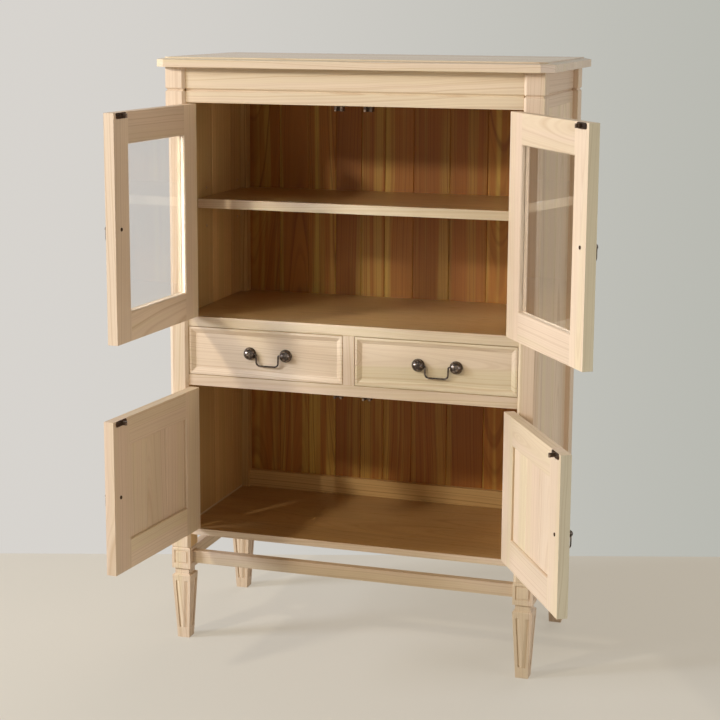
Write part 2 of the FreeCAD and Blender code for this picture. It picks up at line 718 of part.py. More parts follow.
# Side walls with their low rails and the holes for the shelf pegs.
PEG_FRONT = "(sizes.post_size + sizes.peg_front_inset)"
PEG_BACK = f"({BACK_POST} - sizes.peg_back_inset)"
PEG_HEIGHT = f"({SHELF_UNDER} - sizes.peg_radius)"
for side_name, side, shares in (
    ("left", 1, LEFT_SIDE_SHARES),
    ("right", -1, RIGHT_SIDE_SHARES),
):
    holes = []
    for place_name, depth in (("front", PEG_FRONT), ("back", PEG_BACK)):
        for step in (-1, 0, 1):
            inner = f"-{SIDE_IN} - sizes.peg_hole_depth"
            holes.append(
                cylinder(
                    f"{side_name}_{place_name}_peg_hole_{step + 1}",
                    "sizes.peg_radius + sizes.peg_fit",
                    "x",
                    (
                        inner if side > 0 else f"{SIDE_IN} - sizes.peg_hole_depth",
                        depth,
                        f"{PEG_HEIGHT} + {step} * sizes.peg_pitch",
                    ),
                    "2 * sizes.peg_hole_depth",
                )
            )
    wall = boards(
        f"{side_name}_side_boards",
        "y",
        ("sizes.post_size", BACK_POST),
        shares,
        flip(side, f"-{SIDE_OUT}", f"-{SIDE_IN}"),
        (SIDE_RAIL[1], FRIEZE_UNDER),
        holes,
    )
    node(wall, f"{side_name}_side_boards")

node(
    group(
        "low_side_rails",
        [
            box(
                f"{side_name}_low_rail",
                flip(side, f"-{SIDE_OUT}", f"-{SIDE_IN}"),
                ("sizes.post_size", BACK_POST),
                SIDE_RAIL,
            )
            for side_name, side in (("left", 1), ("right", -1))
        ],
    ),
    "low_side_rails",
)
node(
    boards(
        "back_boards",
        "x",
        (f"-{POST_IN}", POST_IN),
        BACK_SHARES,
        (BOARDS_FRONT, BOARDS_BACK),
        (FLOOR_UNDER, TOP_UNDER),
    ),
    "back_boards",
)
node(
    box(
        "low_back_rail",
        (f"-{POST_IN}", POST_IN),
        (BACK_RAIL, BOARDS_FRONT),
        (FLOOR_TOP, f"{FLOOR_TOP} + sizes.low_back_rail_height"),
    ),
    "low_back_rail",
    f"-{POST_IN}",
    BACK_RAIL,
    FLOOR_TOP,
)

# Boards that reach from wall to wall, notched round the four posts.
NOTCH = f"({SIDE_IN} - {POST_IN})"
NOTCHED_OUTLINE = [
    (NOTCH, "0"),
    (f"2 * {SIDE_IN} - {NOTCH}", "0"),
    (f"2 * {SIDE_IN} - {NOTCH}", "sizes.post_size - sizes.front_setback"),
    (f"2 * {SIDE_IN}", "sizes.post_size - sizes.front_setback"),
    (f"2 * {SIDE_IN}", f"{BACK_POST} - sizes.front_setback"),
    (f"2 * {SIDE_IN} - {NOTCH}", f"{BACK_POST} - sizes.front_setback"),
    (f"2 * {SIDE_IN} - {NOTCH}", f"{BOARDS_FRONT} - sizes.front_setback"),
    (NOTCH, f"{BOARDS_FRONT} - sizes.front_setback"),
    (NOTCH, f"{BACK_POST} - sizes.front_setback"),
    ("0", f"{BACK_POST} - sizes.front_setback"),
    ("0", "sizes.post_size - sizes.front_setback"),
    (NOTCH, "sizes.post_size - sizes.front_setback"),
]
for name, thickness, under in (
    ("deck_board", "sizes.deck_thickness", DECK_UNDER),
    ("floor_board", "sizes.floor_thickness", FLOOR_UNDER),
):
    node(padded(name, NOTCHED_OUTLINE, thickness), name, f"-{SIDE_IN}", "sizes.front_setback", under)

SHELF_HALF = f"({SIDE_IN} - sizes.shelf_gap)"
SHELF_NOTCH = f"({SHELF_HALF} - {POST_IN} + sizes.shelf_gap)"
SHELF_STEP = f"({BACK_POST} - sizes.shelf_gap - sizes.shelf_front)"
SHELF_DEPTH = f"({BOARDS_FRONT} - sizes.shelf_gap - sizes.shelf_front)"
SHELF_OUTLINE = [
    ("0", "0"),
    (f"2 * {SHELF_HALF}", "0"),
    (f"2 * {SHELF_HALF}", SHELF_STEP),
    (f"2 * {SHELF_HALF} - {SHELF_NOTCH}", SHELF_STEP),
    (f"2 * {SHELF_HALF} - {SHELF_NOTCH}", SHELF_DEPTH),
    (SHELF_NOTCH, SHELF_DEPTH),
    (SHELF_NOTCH, SHELF_STEP),
    ("0", SHELF_STEP),
]
node(
    padded("adjustable_shelf", SHELF_OUTLINE, "sizes.shelf_thickness"),
    "adjustable_shelf",
    f"-{SHELF_HALF}",
    "sizes.shelf_front",
    SHELF_UNDER,
)
pegs = []
for side_name, side in (("left", 1), ("right", -1)):
    for place_name, depth in (("front", PEG_FRONT), ("back", PEG_BACK)):
        start, end = flip(
            side,
            f"-{SIDE_IN} - sizes.peg_length / 2",
            f"-{SIDE_IN} + sizes.peg_length / 2",
        )
        pegs.append(
            cylinder(
                f"{side_name}_{place_name}_peg",
                "sizes.peg_radius",
                "x",
                (start, depth, PEG_HEIGHT),
                "sizes.peg_length",
            )
        )
node(group("shelf_pegs", pegs), "shelf_pegs")

# Rail, divider, runners and guides of the drawer band.
node(
    box(
        "drawer_rail",
        (f"-{POST_IN}", POST_IN),
        ("sizes.front_setback", "sizes.post_size"),
        (RAIL_UNDER, RAIL_TOP),
    ),
    "drawer_rail",
    f"-{POST_IN}",
    "sizes.front_setback",
    RAIL_UNDER,
)
DIVIDER = ("-sizes.divider_width / 2", "sizes.divider_width / 2")
node(
    box(
        "drawer_divider",
        DIVIDER,
        ("sizes.front_setback", "sizes.post_size"),
        (RAIL_TOP, DECK_UNDER),
    ),
    "drawer_divider",
    DIVIDER[0],
    "sizes.front_setback",
    RAIL_TOP,
)
RUNNER_HEIGHT = (f"{RAIL_TOP} - sizes.runner_thickness", RAIL_TOP)
GUIDE_HEIGHT = (RAIL_TOP, f"{RAIL_TOP} + sizes.guide_height")
runners = [
    box(
        "middle_runner",
        ("-sizes.runner_width", "sizes.runner_width"),
        ("sizes.post_size", BOARDS_FRONT),
        RUNNER_HEIGHT,
    ),
    box("middle_guide", DIVIDER, ("sizes.post_size", BOARDS_FRONT), GUIDE_HEIGHT),
]
for side_name, side in (("left", 1), ("right", -1)):
    runners.append(
        box(
            f"{side_name}_runner",
            flip(side, f"-{SIDE_IN}", f"-{SIDE_IN} + sizes.runner_width"),
            ("sizes.post_size", BACK_POST),
            RUNNER_HEIGHT,
        )
    )
    runners.append(
        box(
            f"{side_name}_guide",
            flip(side, f"-{SIDE_IN}", f"-{POST_IN}"),
            ("sizes.post_size", BACK_POST),
            GUIDE_HEIGHT,
        )
    )
node(group("drawer_runners", runners), "drawer_runners")

# Stretchers between the leg blocks.
STRETCHER_HEIGHT = (STRETCHER_UNDER, STRETCHER_TOP)
STRETCHER_IN = "(sizes.stretcher_setback + sizes.stretcher_thickness)"
for name, depth in (
    ("front_stretcher", ("sizes.stretcher_setback", STRETCHER_IN)),
    (
        "back_stretcher",
        (
            f"sizes.carcass_depth - {STRETCHER_IN}",
            "sizes.carcass_depth - sizes.stretcher_setback",
        ),
    ),
):
    node(
        box(name, (f"-{POST_IN}", POST_IN), depth, STRETCHER_HEIGHT),
        name,
        f"-{POST_IN}",
        depth[0],
        STRETCHER_HEIGHT[0],
    )
node(
    group(
        "side_stretchers",
        [
            box(
                f"{side_name}_stretcher",
                flip(
                    side,
                    f"-{HALF} + sizes.stretcher_setback",
                    f"-{HALF} + {STRETCHER_IN}",
                ),
                ("sizes.post_size", BACK_POST),
                STRETCHER_HEIGHT,
            )
            for side_name, side in (("left", 1), ("right", -1))
        ],
    ),
    "side_stretchers",
)

# Double ball catches, each with its mouth in front of a door's strike.
CATCH_MIDDLE = "(sizes.door_centre_gap / 2 + sizes.strike_inset + sizes.strike_length / 2)"
SPEAR_END = f"(sizes.pin_setback + {DOOR_IN} + sizes.spear_length)"
CATCH_END = f"({SPEAR_END} + sizes.catch_clear + sizes.catch_back)"
BALL_DEPTH = f"({SPEAR_END} - 2 * sizes.spear_head - sizes.ball_clear - sizes.ball_radius)"


def ball_catch(name, side, under, lift):
    """Body with a mouth to the front and below, a ball in each cheek."""
    low = f"{under} - sizes.catch_drop"
    stock = box(
        f"{name}_stock",
        flip(
            side,
            f"-{CATCH_MIDDLE} - sizes.catch_width / 2",
            f"-{CATCH_MIDDLE} + sizes.catch_width / 2",
        ),
        (CATCH_FRONT, CATCH_END),
        (low, under),
    )
    mouth = box(
        f"{name}_mouth",
        flip(
            side,
            f"-{CATCH_MIDDLE} - sizes.catch_mouth / 2",
            f"-{CATCH_MIDDLE} + sizes.catch_mouth / 2",
        ),
        (f"{CATCH_FRONT} - sizes.catch_gap", f"{CATCH_END} - sizes.catch_back"),
        (f"{low} - sizes.catch_gap", f"{under} - sizes.catch_back"),
    )
    solids = [cut(f"{name}_body", stock, [mouth])]
    for index, sign in enumerate("-+"):
        ball = doc.addObject("Part::Sphere", f"{name}_ball_{index}")
        ball.setExpression("Radius", "sizes.ball_radius")
        inward = "sizes.catch_mouth / 2 + sizes.ball_radius - sizes.ball_rise"
        middle = CATCH_MIDDLE if side < 0 else f"-{CATCH_MIDDLE}"
        base(ball, f"{middle} {sign} ({inward})", BALL_DEPTH, f"{under} - sizes.catch_drop / 2")
        solids.append(ball)
    if lift:
        solids.append(
            box(
                f"{name}_mount",
                flip(
                    side,
                    f"-{CATCH_MIDDLE} - sizes.catch_width / 2",
                    f"-{CATCH_MIDDLE} + sizes.catch_width / 2",
                ),
                (CATCH_FRONT, f"{CATCH_FRONT} + sizes.catch_back"),
                (under, f"{under} + {lift}"),
            )
        )
    return joined(name, solids)


catches = [
    ball_catch(f"{level}_{side_name}_catch", side, under, lift)
    for level, under, lift in (
        ("upper", FRIEZE_UNDER, "sizes.catch_mount"),
        ("lower", RAIL_UNDER, None),
    )
    for side_name, side in (("left", 1), ("right", -1))
]
node(group("door_catches", catches), "door_catches")

# Hinges: the post's leaf carries the middle knuckle, the door's leaf the two
# end knuckles and the pin.
KNUCKLE_END = "(sizes.hinge_length * sizes.knuckle_share)"
PLATE_START = "(sizes.knuckle_radius + sizes.knuckle_clear)"


def hinge_plate(name, side, thin, rise):
    """Flat leaf of a hinge, thin giving its span across."""
    return box(
        name,
        flip(side, *thin),
        (PLATE_START, "sizes.leaf_width"),
        (rise, f"{rise} + sizes.hinge_length"),
    )


def post_leaf(name, side, rise):
    thin = ("-sizes.mortise_depth", "sizes.leaf_thickness - sizes.mortise_depth")
    low = f"{rise} + {KNUCKLE_END} + sizes.knuckle_gap"
    length = f"sizes.hinge_length - 2 * {KNUCKLE_END} - 2 * sizes.knuckle_gap"
    solid = joined(
        f"{name}_stock",
        [
            hinge_plate(f"{name}_plate", side, thin, rise),
            box(f"{name}_tab", flip(side, *thin), ("0", PLATE_START), (low, f"{low} + {length}")),
            cylinder(f"{name}_knuckle", "sizes.knuckle_radius", "z", ("0", "0", low), length),
        ],
    )
    hole = cylinder(
        f"{name}_hole",
        "sizes.hinge_pin_radius + sizes.hinge_pin_fit",
        "z",
        ("0", "0", rise),
        "sizes.hinge_length",
    )
    return cut(name, solid, [hole])


def door_leaf(name, side, rise):
    edge = "sizes.door_gap + sizes.mortise_depth"
    thin = (f"{edge} - sizes.leaf_thickness", edge)
    solids = [
        hinge_plate(f"{name}_plate", side, thin, rise),
        cylinder(
            f"{name}_pin", "sizes.hinge_pin_radius", "z", ("0", "0", rise), "sizes.hinge_length"
        ),
    ]
    for end, low in (
        ("low", rise),
        ("high", f"{rise} + sizes.hinge_length - {KNUCKLE_END}"),
    ):
        span = (low, f"{low} + {KNUCKLE_END}")
        solids.append(box(f"{name}_{end}_tab", flip(side, *thin), ("0", PLATE_START), span))
        solids.append(
            cylinder(
                f"{name}_{end}_knuckle",
                "sizes.knuckle_radius",
                "z",
                ("0", "0", low),
                KNUCKLE_END,
            )
        )
    return joined(name, solids)


post_leaves = []
for side_name, side in (("left", 1), ("right", -1)):
    for level in ("upper", "lower"):
        for index, rise in enumerate(hinge_heights(level)):
            leaf = post_leaf(f"{level}_{side_name}_post_leaf_{index}", side, rise)
            across = f"-{POST_IN}" if side > 0 else POST_IN
            post_leaves.append(base(leaf, across, "sizes.pin_setback"))
node(group("post_hinge_leaves", post_leaves), "post_hinge_leaves")


# Doors, each drawn closed from its own pin line and lower edge.
def door_node(item, label, door, side, level):
    """Puts a door's piece on its pins and turns it to its opening angle."""
    item.Placement = FreeCAD.Placement(
        FreeCAD.Vector(), FreeCAD.Rotation(FreeCAD.Vector(0, 0, -side), value(f"sizes.{door}_angle"))
    )
    item.setExpression("Placement.Rotation.Angle", f"sizes.{door}_angle")
    across = f"-{POST_IN}" if side > 0 else POST_IN
    node(item, label, across, "sizes.pin_setback", DOOR_BOTTOM[level])


def door_frame(door, side, level, opening, height):
    left, right = opening
    low, high = height
    tall = DOOR_TALL[level]
    edge = "sizes.door_gap"
    thick = ("sizes.door_face", DOOR_IN)
    members = [
        box(f"{door}_hinge_stile", flip(side, edge, left), thick, ("0", tall)),
        box(f"{door}_free_stile", flip(side, right, LEAF), thick, ("0", tall)),
        box(f"{door}_bottom_rail", flip(side, left, right), thick, ("0", low)),
        box(f"{door}_top_rail", flip(side, left, right), thick, (high, tall)),
    ]
    wide = (f"{left} - sizes.arris", f"{right} + sizes.arris")
    long = (f"{low} - sizes.arris", f"{high} + sizes.arris")
    snug = (left, right)
    filling = "sizes.pane_thickness" if level == "upper" else "sizes.panel_thickness"
    middle = "(sizes.door_face + sizes.door_thickness / 2)"
    pocket = (f"{middle} - {filling} / 2", f"{middle} + {filling} / 2")
    tools = [
        frustum(
            f"{door}_outer_arris",
            ("sizes.door_face", flip(side, *wide), long),
            ("sizes.door_face + sizes.arris", flip(side, *snug), (low, high)),
        ),
        frustum(
            f"{door}_inner_arris",
            (f"{DOOR_IN} - sizes.arris", flip(side, *snug), (low, high)),
            (DOOR_IN, flip(side, *wide), long),
        ),
        box(
            f"{door}_pocket",
            flip(side, f"{left} - sizes.pane_lap", f"{right} + sizes.pane_lap"),
            pocket,
            (f"{low} - sizes.pane_lap", f"{high} + sizes.pane_lap"),
        ),
        cylinder(
            f"{door}_bolt_hole",
            "sizes.bolt_radius + sizes.bolt_fit",
            "y",
            (knob_across(side), "0", f"{tall} / 2"),
            "2 * sizes.door_thickness",
        ),
    ]
    for index, rise in enumerate(hinge_heights(level)):
        rise = f"({rise} - {DOOR_BOTTOM[level]})"
        tools.append(
            box(
                f"{door}_mortise_{index}",
                flip(side, "0", f"{edge} + sizes.mortise_depth"),
                ("0", "sizes.leaf_width"),
                (rise, f"{rise} + sizes.hinge_length"),
            )
        )
    pieces = [cut(f"{item.Name}_cut", item, tools) for item in members]
    door_node(group(f"{door}_frame", pieces), f"{door}_door_frame", door, side, level)
    return pocket


def knob_across(side):
    spot = f"({LEAF} - sizes.knob_inset)"
    return spot if side > 0 else f"-{spot}"


def strike(door, side, level):
    """Strike plate with round ends, two screw heads and the catch's spear."""
    tall = DOOR_TALL[level]
    radius = "(sizes.strike_height / 2)"
    height = f"{tall} - {radius}"
    start = f"({LEAF} - sizes.strike_inset - sizes.strike_length + {radius})"
    end = f"({LEAF} - sizes.strike_inset - {radius})"
    solids = [
        box(
            f"{door}_strike_bar",
            flip(side, start, end),
            (DOOR_IN, f"{DOOR_IN} + sizes.strike_thickness"),
            (f"{height} - {radius}", tall),
        )
    ]
    for index, spot in enumerate((start, end)):
        across = spot if side > 0 else f"-{spot}"
        for kind, size, rise in (
            ("end", radius, "sizes.strike_thickness"),
            ("screw", "sizes.strike_screw_radius", "sizes.strike_thickness + sizes.strike_screw_rise"),
        ):
            solids.append(
                cylinder(f"{door}_strike_{kind}_{index}", size, "y", (across, DOOR_IN, height), rise)
            )
    middle = f"(({start} + {end}) / 2)"
    across = middle if side > 0 else f"-{middle}"
    head = f"({DOOR_IN} + sizes.spear_length - sizes.spear_head)"
    low = f"{height} - sizes.spear_height / 2"
    solids.append(
        cylinder(
            f"{door}_spear_head", "sizes.spear_head", "z", (across, head, low), "sizes.spear_height"
        )
    )
    solids.append(
        box(
            f"{door}_spear_neck",
            (f"{across} - sizes.spear_neck / 2", f"{across} + sizes.spear_neck / 2"),
            (DOOR_IN, head),
            (low, f"{low} + sizes.spear_height"),
        )
    )
    door_node(joined(f"{door}_strike", solids), f"{door}_strike", door, side, level)


def door_pull(door, side, level):
    """Rose, ball and bolt of a door pull, bored for its ring, and the ring."""
    tall = DOOR_TALL[level]
    across = knob_across(side)
    centre = "(sizes.door_face - sizes.knob_radius)"
    ball = doc.addObject("Part::Sphere", f"{door}_ball")
    ball.setExpression("Radius", "sizes.knob_radius")
    base(ball, across, centre, f"{tall} / 2")
    stock = joined(
        f"{door}_pull_stock",
        [
            ball,
            cylinder(
                f"{door}_rose",
                "sizes.rose_radius",
                "y",
                (across, "sizes.door_face - sizes.rose_thickness", f"{tall} / 2"),
                "sizes.rose_thickness",
            ),
            cylinder(
                f"{door}_bolt",
                "sizes.bolt_radius",
                "y",
                (across, centre, f"{tall} / 2"),
                f"{DOOR_IN} - {centre}",
            ),
            cylinder(
                f"{door}_bolt_head",
                "sizes.bolt_head_radius",
                "y",
                (across, DOOR_IN, f"{tall} / 2"),
                "sizes.bolt_head_rise",
            ),
        ],
    )
    low, high = flip(
        side,
        f"{LEAF} - sizes.knob_inset - sizes.rose_radius",
        f"{LEAF} - sizes.knob_inset + sizes.rose_radius",
    )
    bore = cylinder(
        f"{door}_ring_bore",
        "sizes.ring_wire + sizes.ring_fit",
        "x",
        (low, centre, f"{tall} / 2"),
        f"{high} - ({low})",
    )
    pull = cut(f"{door}_pull_post", stock, [bore])
    door_node(pull, f"{door}_pull_post", door, side, level)
    middle = value(across)
    depth = value(centre)
    rise = value(f"{tall} / 2")
    half = value("sizes.knob_radius + sizes.ring_side_air + sizes.ring_wire")
    drop = rise - value("sizes.ring_drop")
    shoulder = value("sizes.ring_shoulder")
    points = [
        (middle, depth, rise),
        (middle + half, depth, rise),
        (middle + half, depth, drop),
        (middle, depth, drop),
        (middle - half, depth, drop),
        (middle - half, depth, rise),
    ]
    hip = half - value("sizes.ring_flat")
    bends = [0, shoulder, hip, 0, hip, shoulder]
    ring = wire_solid(points, bends, value("sizes.ring_wire"), True)
    door_node(fixed_shape(f"{door}_ring", ring), f"{door}_pull_ring", door, side, level)


for door, side, level in DOORS:
    tall = DOOR_TALL[level]
    opening = (
        f"(sizes.door_gap + sizes.{level}_hinge_stile)",
        f"({LEAF} - sizes.{level}_free_stile)",
    )
    height = (f"sizes.{level}_bottom_rail", f"({tall} - sizes.{level}_top_rail)")
    pocket = door_frame(door, side, level, opening, height)
    span = (f"({opening[0]} - sizes.pane_lap)", f"({opening[1]} + sizes.pane_lap)")
    rise = (f"{height[0]} - sizes.pane_lap", f"{height[1]} + sizes.pane_lap")
    if level == "upper":
        pane = group(f"{door}_pane", [box(f"{door}_pane_sheet", flip(side, *span), pocket, rise)])
        door_node(pane, f"{door}_glass", door, side, level)
    else:
        panel = boards(f"{door}_panel", "x", flip(side, *span), PANEL_SHARES, pocket, rise)
        door_node(panel, f"{door}_panel", door, side, level)
    leaves = [
        door_leaf(f"{door}_leaf_{index}", side, f"({low} - {DOOR_BOTTOM[level]})")
        for index, low in enumerate(hinge_heights(level))
    ]
    door_node(group(f"{door}_leaves", leaves), f"{door}_hinge_leaves", door, side, level)
    strike(door, side, level)
    door_pull(door, side, level)

# Drawers, each drawn from the middle of its front's outer face at its
# lower edge.
OPENING_WIDTH = f"({POST_IN} - sizes.divider_width / 2)"
FRONT_HALF = f"({OPENING_WIDTH} / 2 - sizes.drawer_gap)"
FRONT_TALL = "(sizes.drawer_opening - 2 * sizes.drawer_gap)"
FRONT_RISE = f"({RAIL_TOP} + sizes.drawer_gap)"
SIDE_HALF = f"({OPENING_WIDTH} / 2 - sizes.drawer_side_gap)"
SIDE_LOW = "(sizes.drawer_lift - sizes.drawer_gap)"
SIDE_HIGH = f"({SIDE_LOW} + sizes.drawer_opening - sizes.drawer_side_clear)"
SIDE_START = "sizes.drawer_front_thickness"
SIDE_END = f"({BOARDS_FRONT} - sizes.front_setback - sizes.drawer_back_space)"
PULL_RISE = f"({FRONT_TALL} / 2 - sizes.pull_drop)"
PULL_BACK = "(sizes.drawer_sink - sizes.plate_thickness)"
BAIL_AXIS = f"({PULL_BACK} - sizes.bail_rise)"
DOME_EDGE = "sqrt(sizes.dome_radius ^ 2 - sizes.bail_rise ^ 2)"


def drawer_node(item, label, side):
    middle = f"(sizes.divider_width / 2 + {OPENING_WIDTH} / 2)"
    node(item, label, f"-{middle}" if side > 0 else middle, "sizes.front_setback", FRONT_RISE)


for drawer, side in (("left", 1), ("right", -1)):
    offset = f"sizes.{drawer}_pull_offset"
    spots = [f"({offset} {sign} sizes.pull_spacing / 2)" for sign in "-+"]
    field_inset = "(sizes.drawer_border + sizes.drawer_bevel)"
    front_tools = [
        frustum(
            f"{drawer}_sunk_field",
            (
                "0",
                (f"sizes.drawer_border - {FRONT_HALF}", f"{FRONT_HALF} - sizes.drawer_border"),
                ("sizes.drawer_border", f"{FRONT_TALL} - sizes.drawer_border"),
            ),
            (
                "sizes.drawer_sink",
                (f"{field_inset} - {FRONT_HALF}", f"{FRONT_HALF} - {field_inset}"),
                (field_inset, f"{FRONT_TALL} - {field_inset}"),
            ),
        )
    ]
    pulls = []
    for index, spot in enumerate(spots):
        front_tools.append(
            cylinder(
                f"{drawer}_bolt_hole_{index}",
                "sizes.bolt_radius + sizes.bolt_fit",
                "y",
                (spot, "0", PULL_RISE),
                "2 * sizes.drawer_front_thickness",
            )
        )
        dome = doc.addObject("Part::Sphere", f"{drawer}_dome_{index}")
        dome.Angle1 = 0
        dome.Placement = FreeCAD.Placement(
            FreeCAD.Vector(), FreeCAD.Rotation(FreeCAD.Vector(1, 0, 0), 90)
        )
        dome.setExpression("Radius", "sizes.dome_radius")
        base(dome, spot, PULL_BACK, PULL_RISE)
        stock = joined(
            f"{drawer}_pull_stock_{index}",
            [
                dome,
                cylinder(
                    f"{drawer}_plate_{index}",
                    "sizes.plate_radius",
                    "y",
                    (spot, PULL_BACK, PULL_RISE),
                    "sizes.plate_thickness",
                ),
                cylinder(
                    f"{drawer}_bolt_{index}",
                    "sizes.bolt_radius",
                    "y",
                    (spot, PULL_BACK, PULL_RISE),
                    f"sizes.drawer_front_thickness - {PULL_BACK}",
                ),
                cylinder(
                    f"{drawer}_bolt_head_{index}",
                    "sizes.bolt_head_radius",
                    "y",
                    (spot, "sizes.drawer_front_thickness", PULL_RISE),
                    "sizes.bolt_head_rise",
                ),
            ],
        )
        inner = f"({DOME_EDGE} - sizes.bail_end - sizes.bail_end_air)"
        start, end = flip(1 - 2 * index, inner, "sizes.plate_radius")
        bore = cylinder(
            f"{drawer}_bore_{index}",
            "sizes.bail_wire + sizes.ring_fit",
            "x",
            (f"{spot} + {start}", BAIL_AXIS, PULL_RISE),
            f"{end} - ({start})",
        )
        pulls.append(cut(f"{drawer}_pull_{index}", stock, [bore]))
    front = cut(
        f"{drawer}_front",
        box(
            f"{drawer}_front_board",
            (f"-{FRONT_HALF}", FRONT_HALF),
            ("0", "sizes.drawer_front_thickness"),
            ("0", FRONT_TALL),
        ),
        front_tools,
    )
    drawer_node(front, f"{drawer}_drawer_front", side)
    drawer_node(group(f"{drawer}_pulls", pulls), f"{drawer}_pull_posts", side)
    inside = f"({SIDE_HALF} - sizes.drawer_side_thickness)"
    back = f"({SIDE_END} - sizes.drawer_side_thickness)"
    walls = [
        box(
            f"{drawer}_drawer_wall_{index}",
            flip(1 - 2 * index, f"-{SIDE_HALF}", f"-{inside}"),
            (SIDE_START, SIDE_END),
            (SIDE_LOW, SIDE_HIGH),
        )
        for index in range(2)
    ]
    walls.append(
        box(
            f"{drawer}_drawer_back",
            (f"-{inside}", inside),
            (back, SIDE_END),
            (SIDE_LOW, SIDE_HIGH),
        )
    )
    drawer_node(group(f"{drawer}_drawer_walls", walls), f"{drawer}_drawer_walls", side)
    bottom_low = f"({SIDE_LOW} + sizes.drawer_bottom_lift)"
    bottom = group(
        f"{drawer}_drawer_base",
        [
            box(
                f"{drawer}_drawer_sheet",
                (f"-{inside}", inside),
                (SIDE_START, back),
                (bottom_low, f"{bottom_low} + sizes.drawer_bottom_thickness"),
            )
        ],
    )
    drawer_node(bottom, f"{drawer}_drawer_bottom", side)
    centre = value(offset)
    depth = value(BAIL_AXIS)
    rise = value(PULL_RISE)
    mouth = value(f"sizes.pull_spacing / 2 - {DOME_EDGE}")
    neck = mouth - value("sizes.bail_neck")
    tip = mouth + value("sizes.bail_end")
    low = rise - value("sizes.bail_drop")
    bar = value("sizes.bail_bar_half")
    bend = value("sizes.bail_bend")
    bow = value("sizes.bail_bow")
    bail = wire_solid(
        [
            (centre - tip, depth, rise),
            (centre - neck, depth, rise),
            (centre - bar, depth, low),
            (centre + bar, depth, low),
            (centre + neck, depth, rise),
            (centre + tip, depth, rise),
        ],
        [0, bend, bow, bow, bend, 0],
        value("sizes.bail_wire"),
    )
    drawer_node(fixed_shape(f"{drawer}_bail", bail), f"{drawer}_bail", side)

doc.recompute()
for item in doc.Objects:
    if {"Invalid", "Error"} & set(item.State):
        raise RuntimeError(f"{item.Name} did not rebuild")
for item in NODES:
    if item.Shape.isNull() or not item.Shape.isValid() or not item.Shape.Solids:
        raise RuntimeError(f"{item.Label} has no sound solid")
    item.Shape.exportStep(f"parts/{item.Label}.step")
print(len(NODES), "nodes")
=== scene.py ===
"""Tall cabinet: finishes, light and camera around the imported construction."""
import json
import math
import random

import bmesh
import bpy
from mathutils import Matrix, Vector

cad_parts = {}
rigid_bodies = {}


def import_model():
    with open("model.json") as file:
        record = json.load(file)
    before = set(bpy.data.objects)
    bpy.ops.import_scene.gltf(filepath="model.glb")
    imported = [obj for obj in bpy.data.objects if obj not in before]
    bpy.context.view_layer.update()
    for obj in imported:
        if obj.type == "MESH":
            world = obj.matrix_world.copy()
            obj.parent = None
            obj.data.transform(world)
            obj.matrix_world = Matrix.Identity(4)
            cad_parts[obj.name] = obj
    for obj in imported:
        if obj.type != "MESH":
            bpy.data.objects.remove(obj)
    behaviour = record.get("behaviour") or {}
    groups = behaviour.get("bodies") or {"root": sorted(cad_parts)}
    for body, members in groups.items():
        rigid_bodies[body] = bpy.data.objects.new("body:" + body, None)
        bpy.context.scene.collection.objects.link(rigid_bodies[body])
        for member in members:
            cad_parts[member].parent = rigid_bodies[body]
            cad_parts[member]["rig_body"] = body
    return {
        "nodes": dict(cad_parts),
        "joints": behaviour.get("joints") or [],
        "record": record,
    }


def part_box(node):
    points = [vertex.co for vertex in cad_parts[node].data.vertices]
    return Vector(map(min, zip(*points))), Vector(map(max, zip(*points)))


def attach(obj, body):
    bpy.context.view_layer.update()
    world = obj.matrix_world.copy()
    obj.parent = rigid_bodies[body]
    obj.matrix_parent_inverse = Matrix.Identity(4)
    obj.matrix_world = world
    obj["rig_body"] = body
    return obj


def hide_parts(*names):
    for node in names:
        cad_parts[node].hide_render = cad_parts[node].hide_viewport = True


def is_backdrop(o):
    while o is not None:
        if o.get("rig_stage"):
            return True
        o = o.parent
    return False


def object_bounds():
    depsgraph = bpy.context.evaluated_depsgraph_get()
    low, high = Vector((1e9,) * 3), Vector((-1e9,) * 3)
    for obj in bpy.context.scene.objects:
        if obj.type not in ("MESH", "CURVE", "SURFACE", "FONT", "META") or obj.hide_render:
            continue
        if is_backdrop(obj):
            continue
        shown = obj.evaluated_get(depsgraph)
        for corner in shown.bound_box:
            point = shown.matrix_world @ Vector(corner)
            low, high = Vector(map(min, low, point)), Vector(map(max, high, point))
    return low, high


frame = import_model()
cad_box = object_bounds()
NODES = frame["nodes"]
JOINTS = {joint["name"]: joint for joint in frame["joints"]}
SLOTS = {part["node"]: part["material_slot"] for part in frame["record"]["subparts"]}
MM = 0.001

# The camera as fitted to the cabinet's edges: metres, radians, and millimetres for the lens
EYE = Vector((1.00812, -3.36923, 1.3682))
YAW = 0.3084
PITCH = 0.1796
ROLL = 0.0048
LENS = 86.94
SENSOR = 36
SHIFT = (0.0100, -0.0533)


# Helpers for material nodes
def new_material(name):
    material = bpy.data.materials.new(name)
    material.use_nodes = True
    tree = material.node_tree
    shader = tree.nodes["Principled BSDF"]
    return material, tree, shader


def add(tree, kind, **settings):
    node = tree.nodes.new(kind)
    for key, value in settings.items():
        setattr(node, key, value)
    return node


def feed(tree, source, target):
    """Joins a socket, or sets a plain value, on an input."""
    if isinstance(source, bpy.types.NodeSocket):
        tree.links.new(source, target)
    else:
        target.default_value = source


def reckon(tree, operation, first, second=0.0, third=0.0, clamp=False):
    node = add(tree, "ShaderNodeMath", operation=operation, use_clamp=clamp)
    for source, target in zip((first, second, third), node.inputs):
        feed(tree, source, target)
    return node.outputs[0]


def square(tree, value):
    return reckon(tree, "POWER", reckon(tree, "ABSOLUTE", value), 2.0)


def stretch(tree, vector, scale, shift=(0, 0, 0)):
    node = add(tree, "ShaderNodeVectorMath", operation="MULTIPLY_ADD")
    for source, target in zip((vector, scale, shift), node.inputs):
        feed(tree, source, target)
    return node.outputs[0]


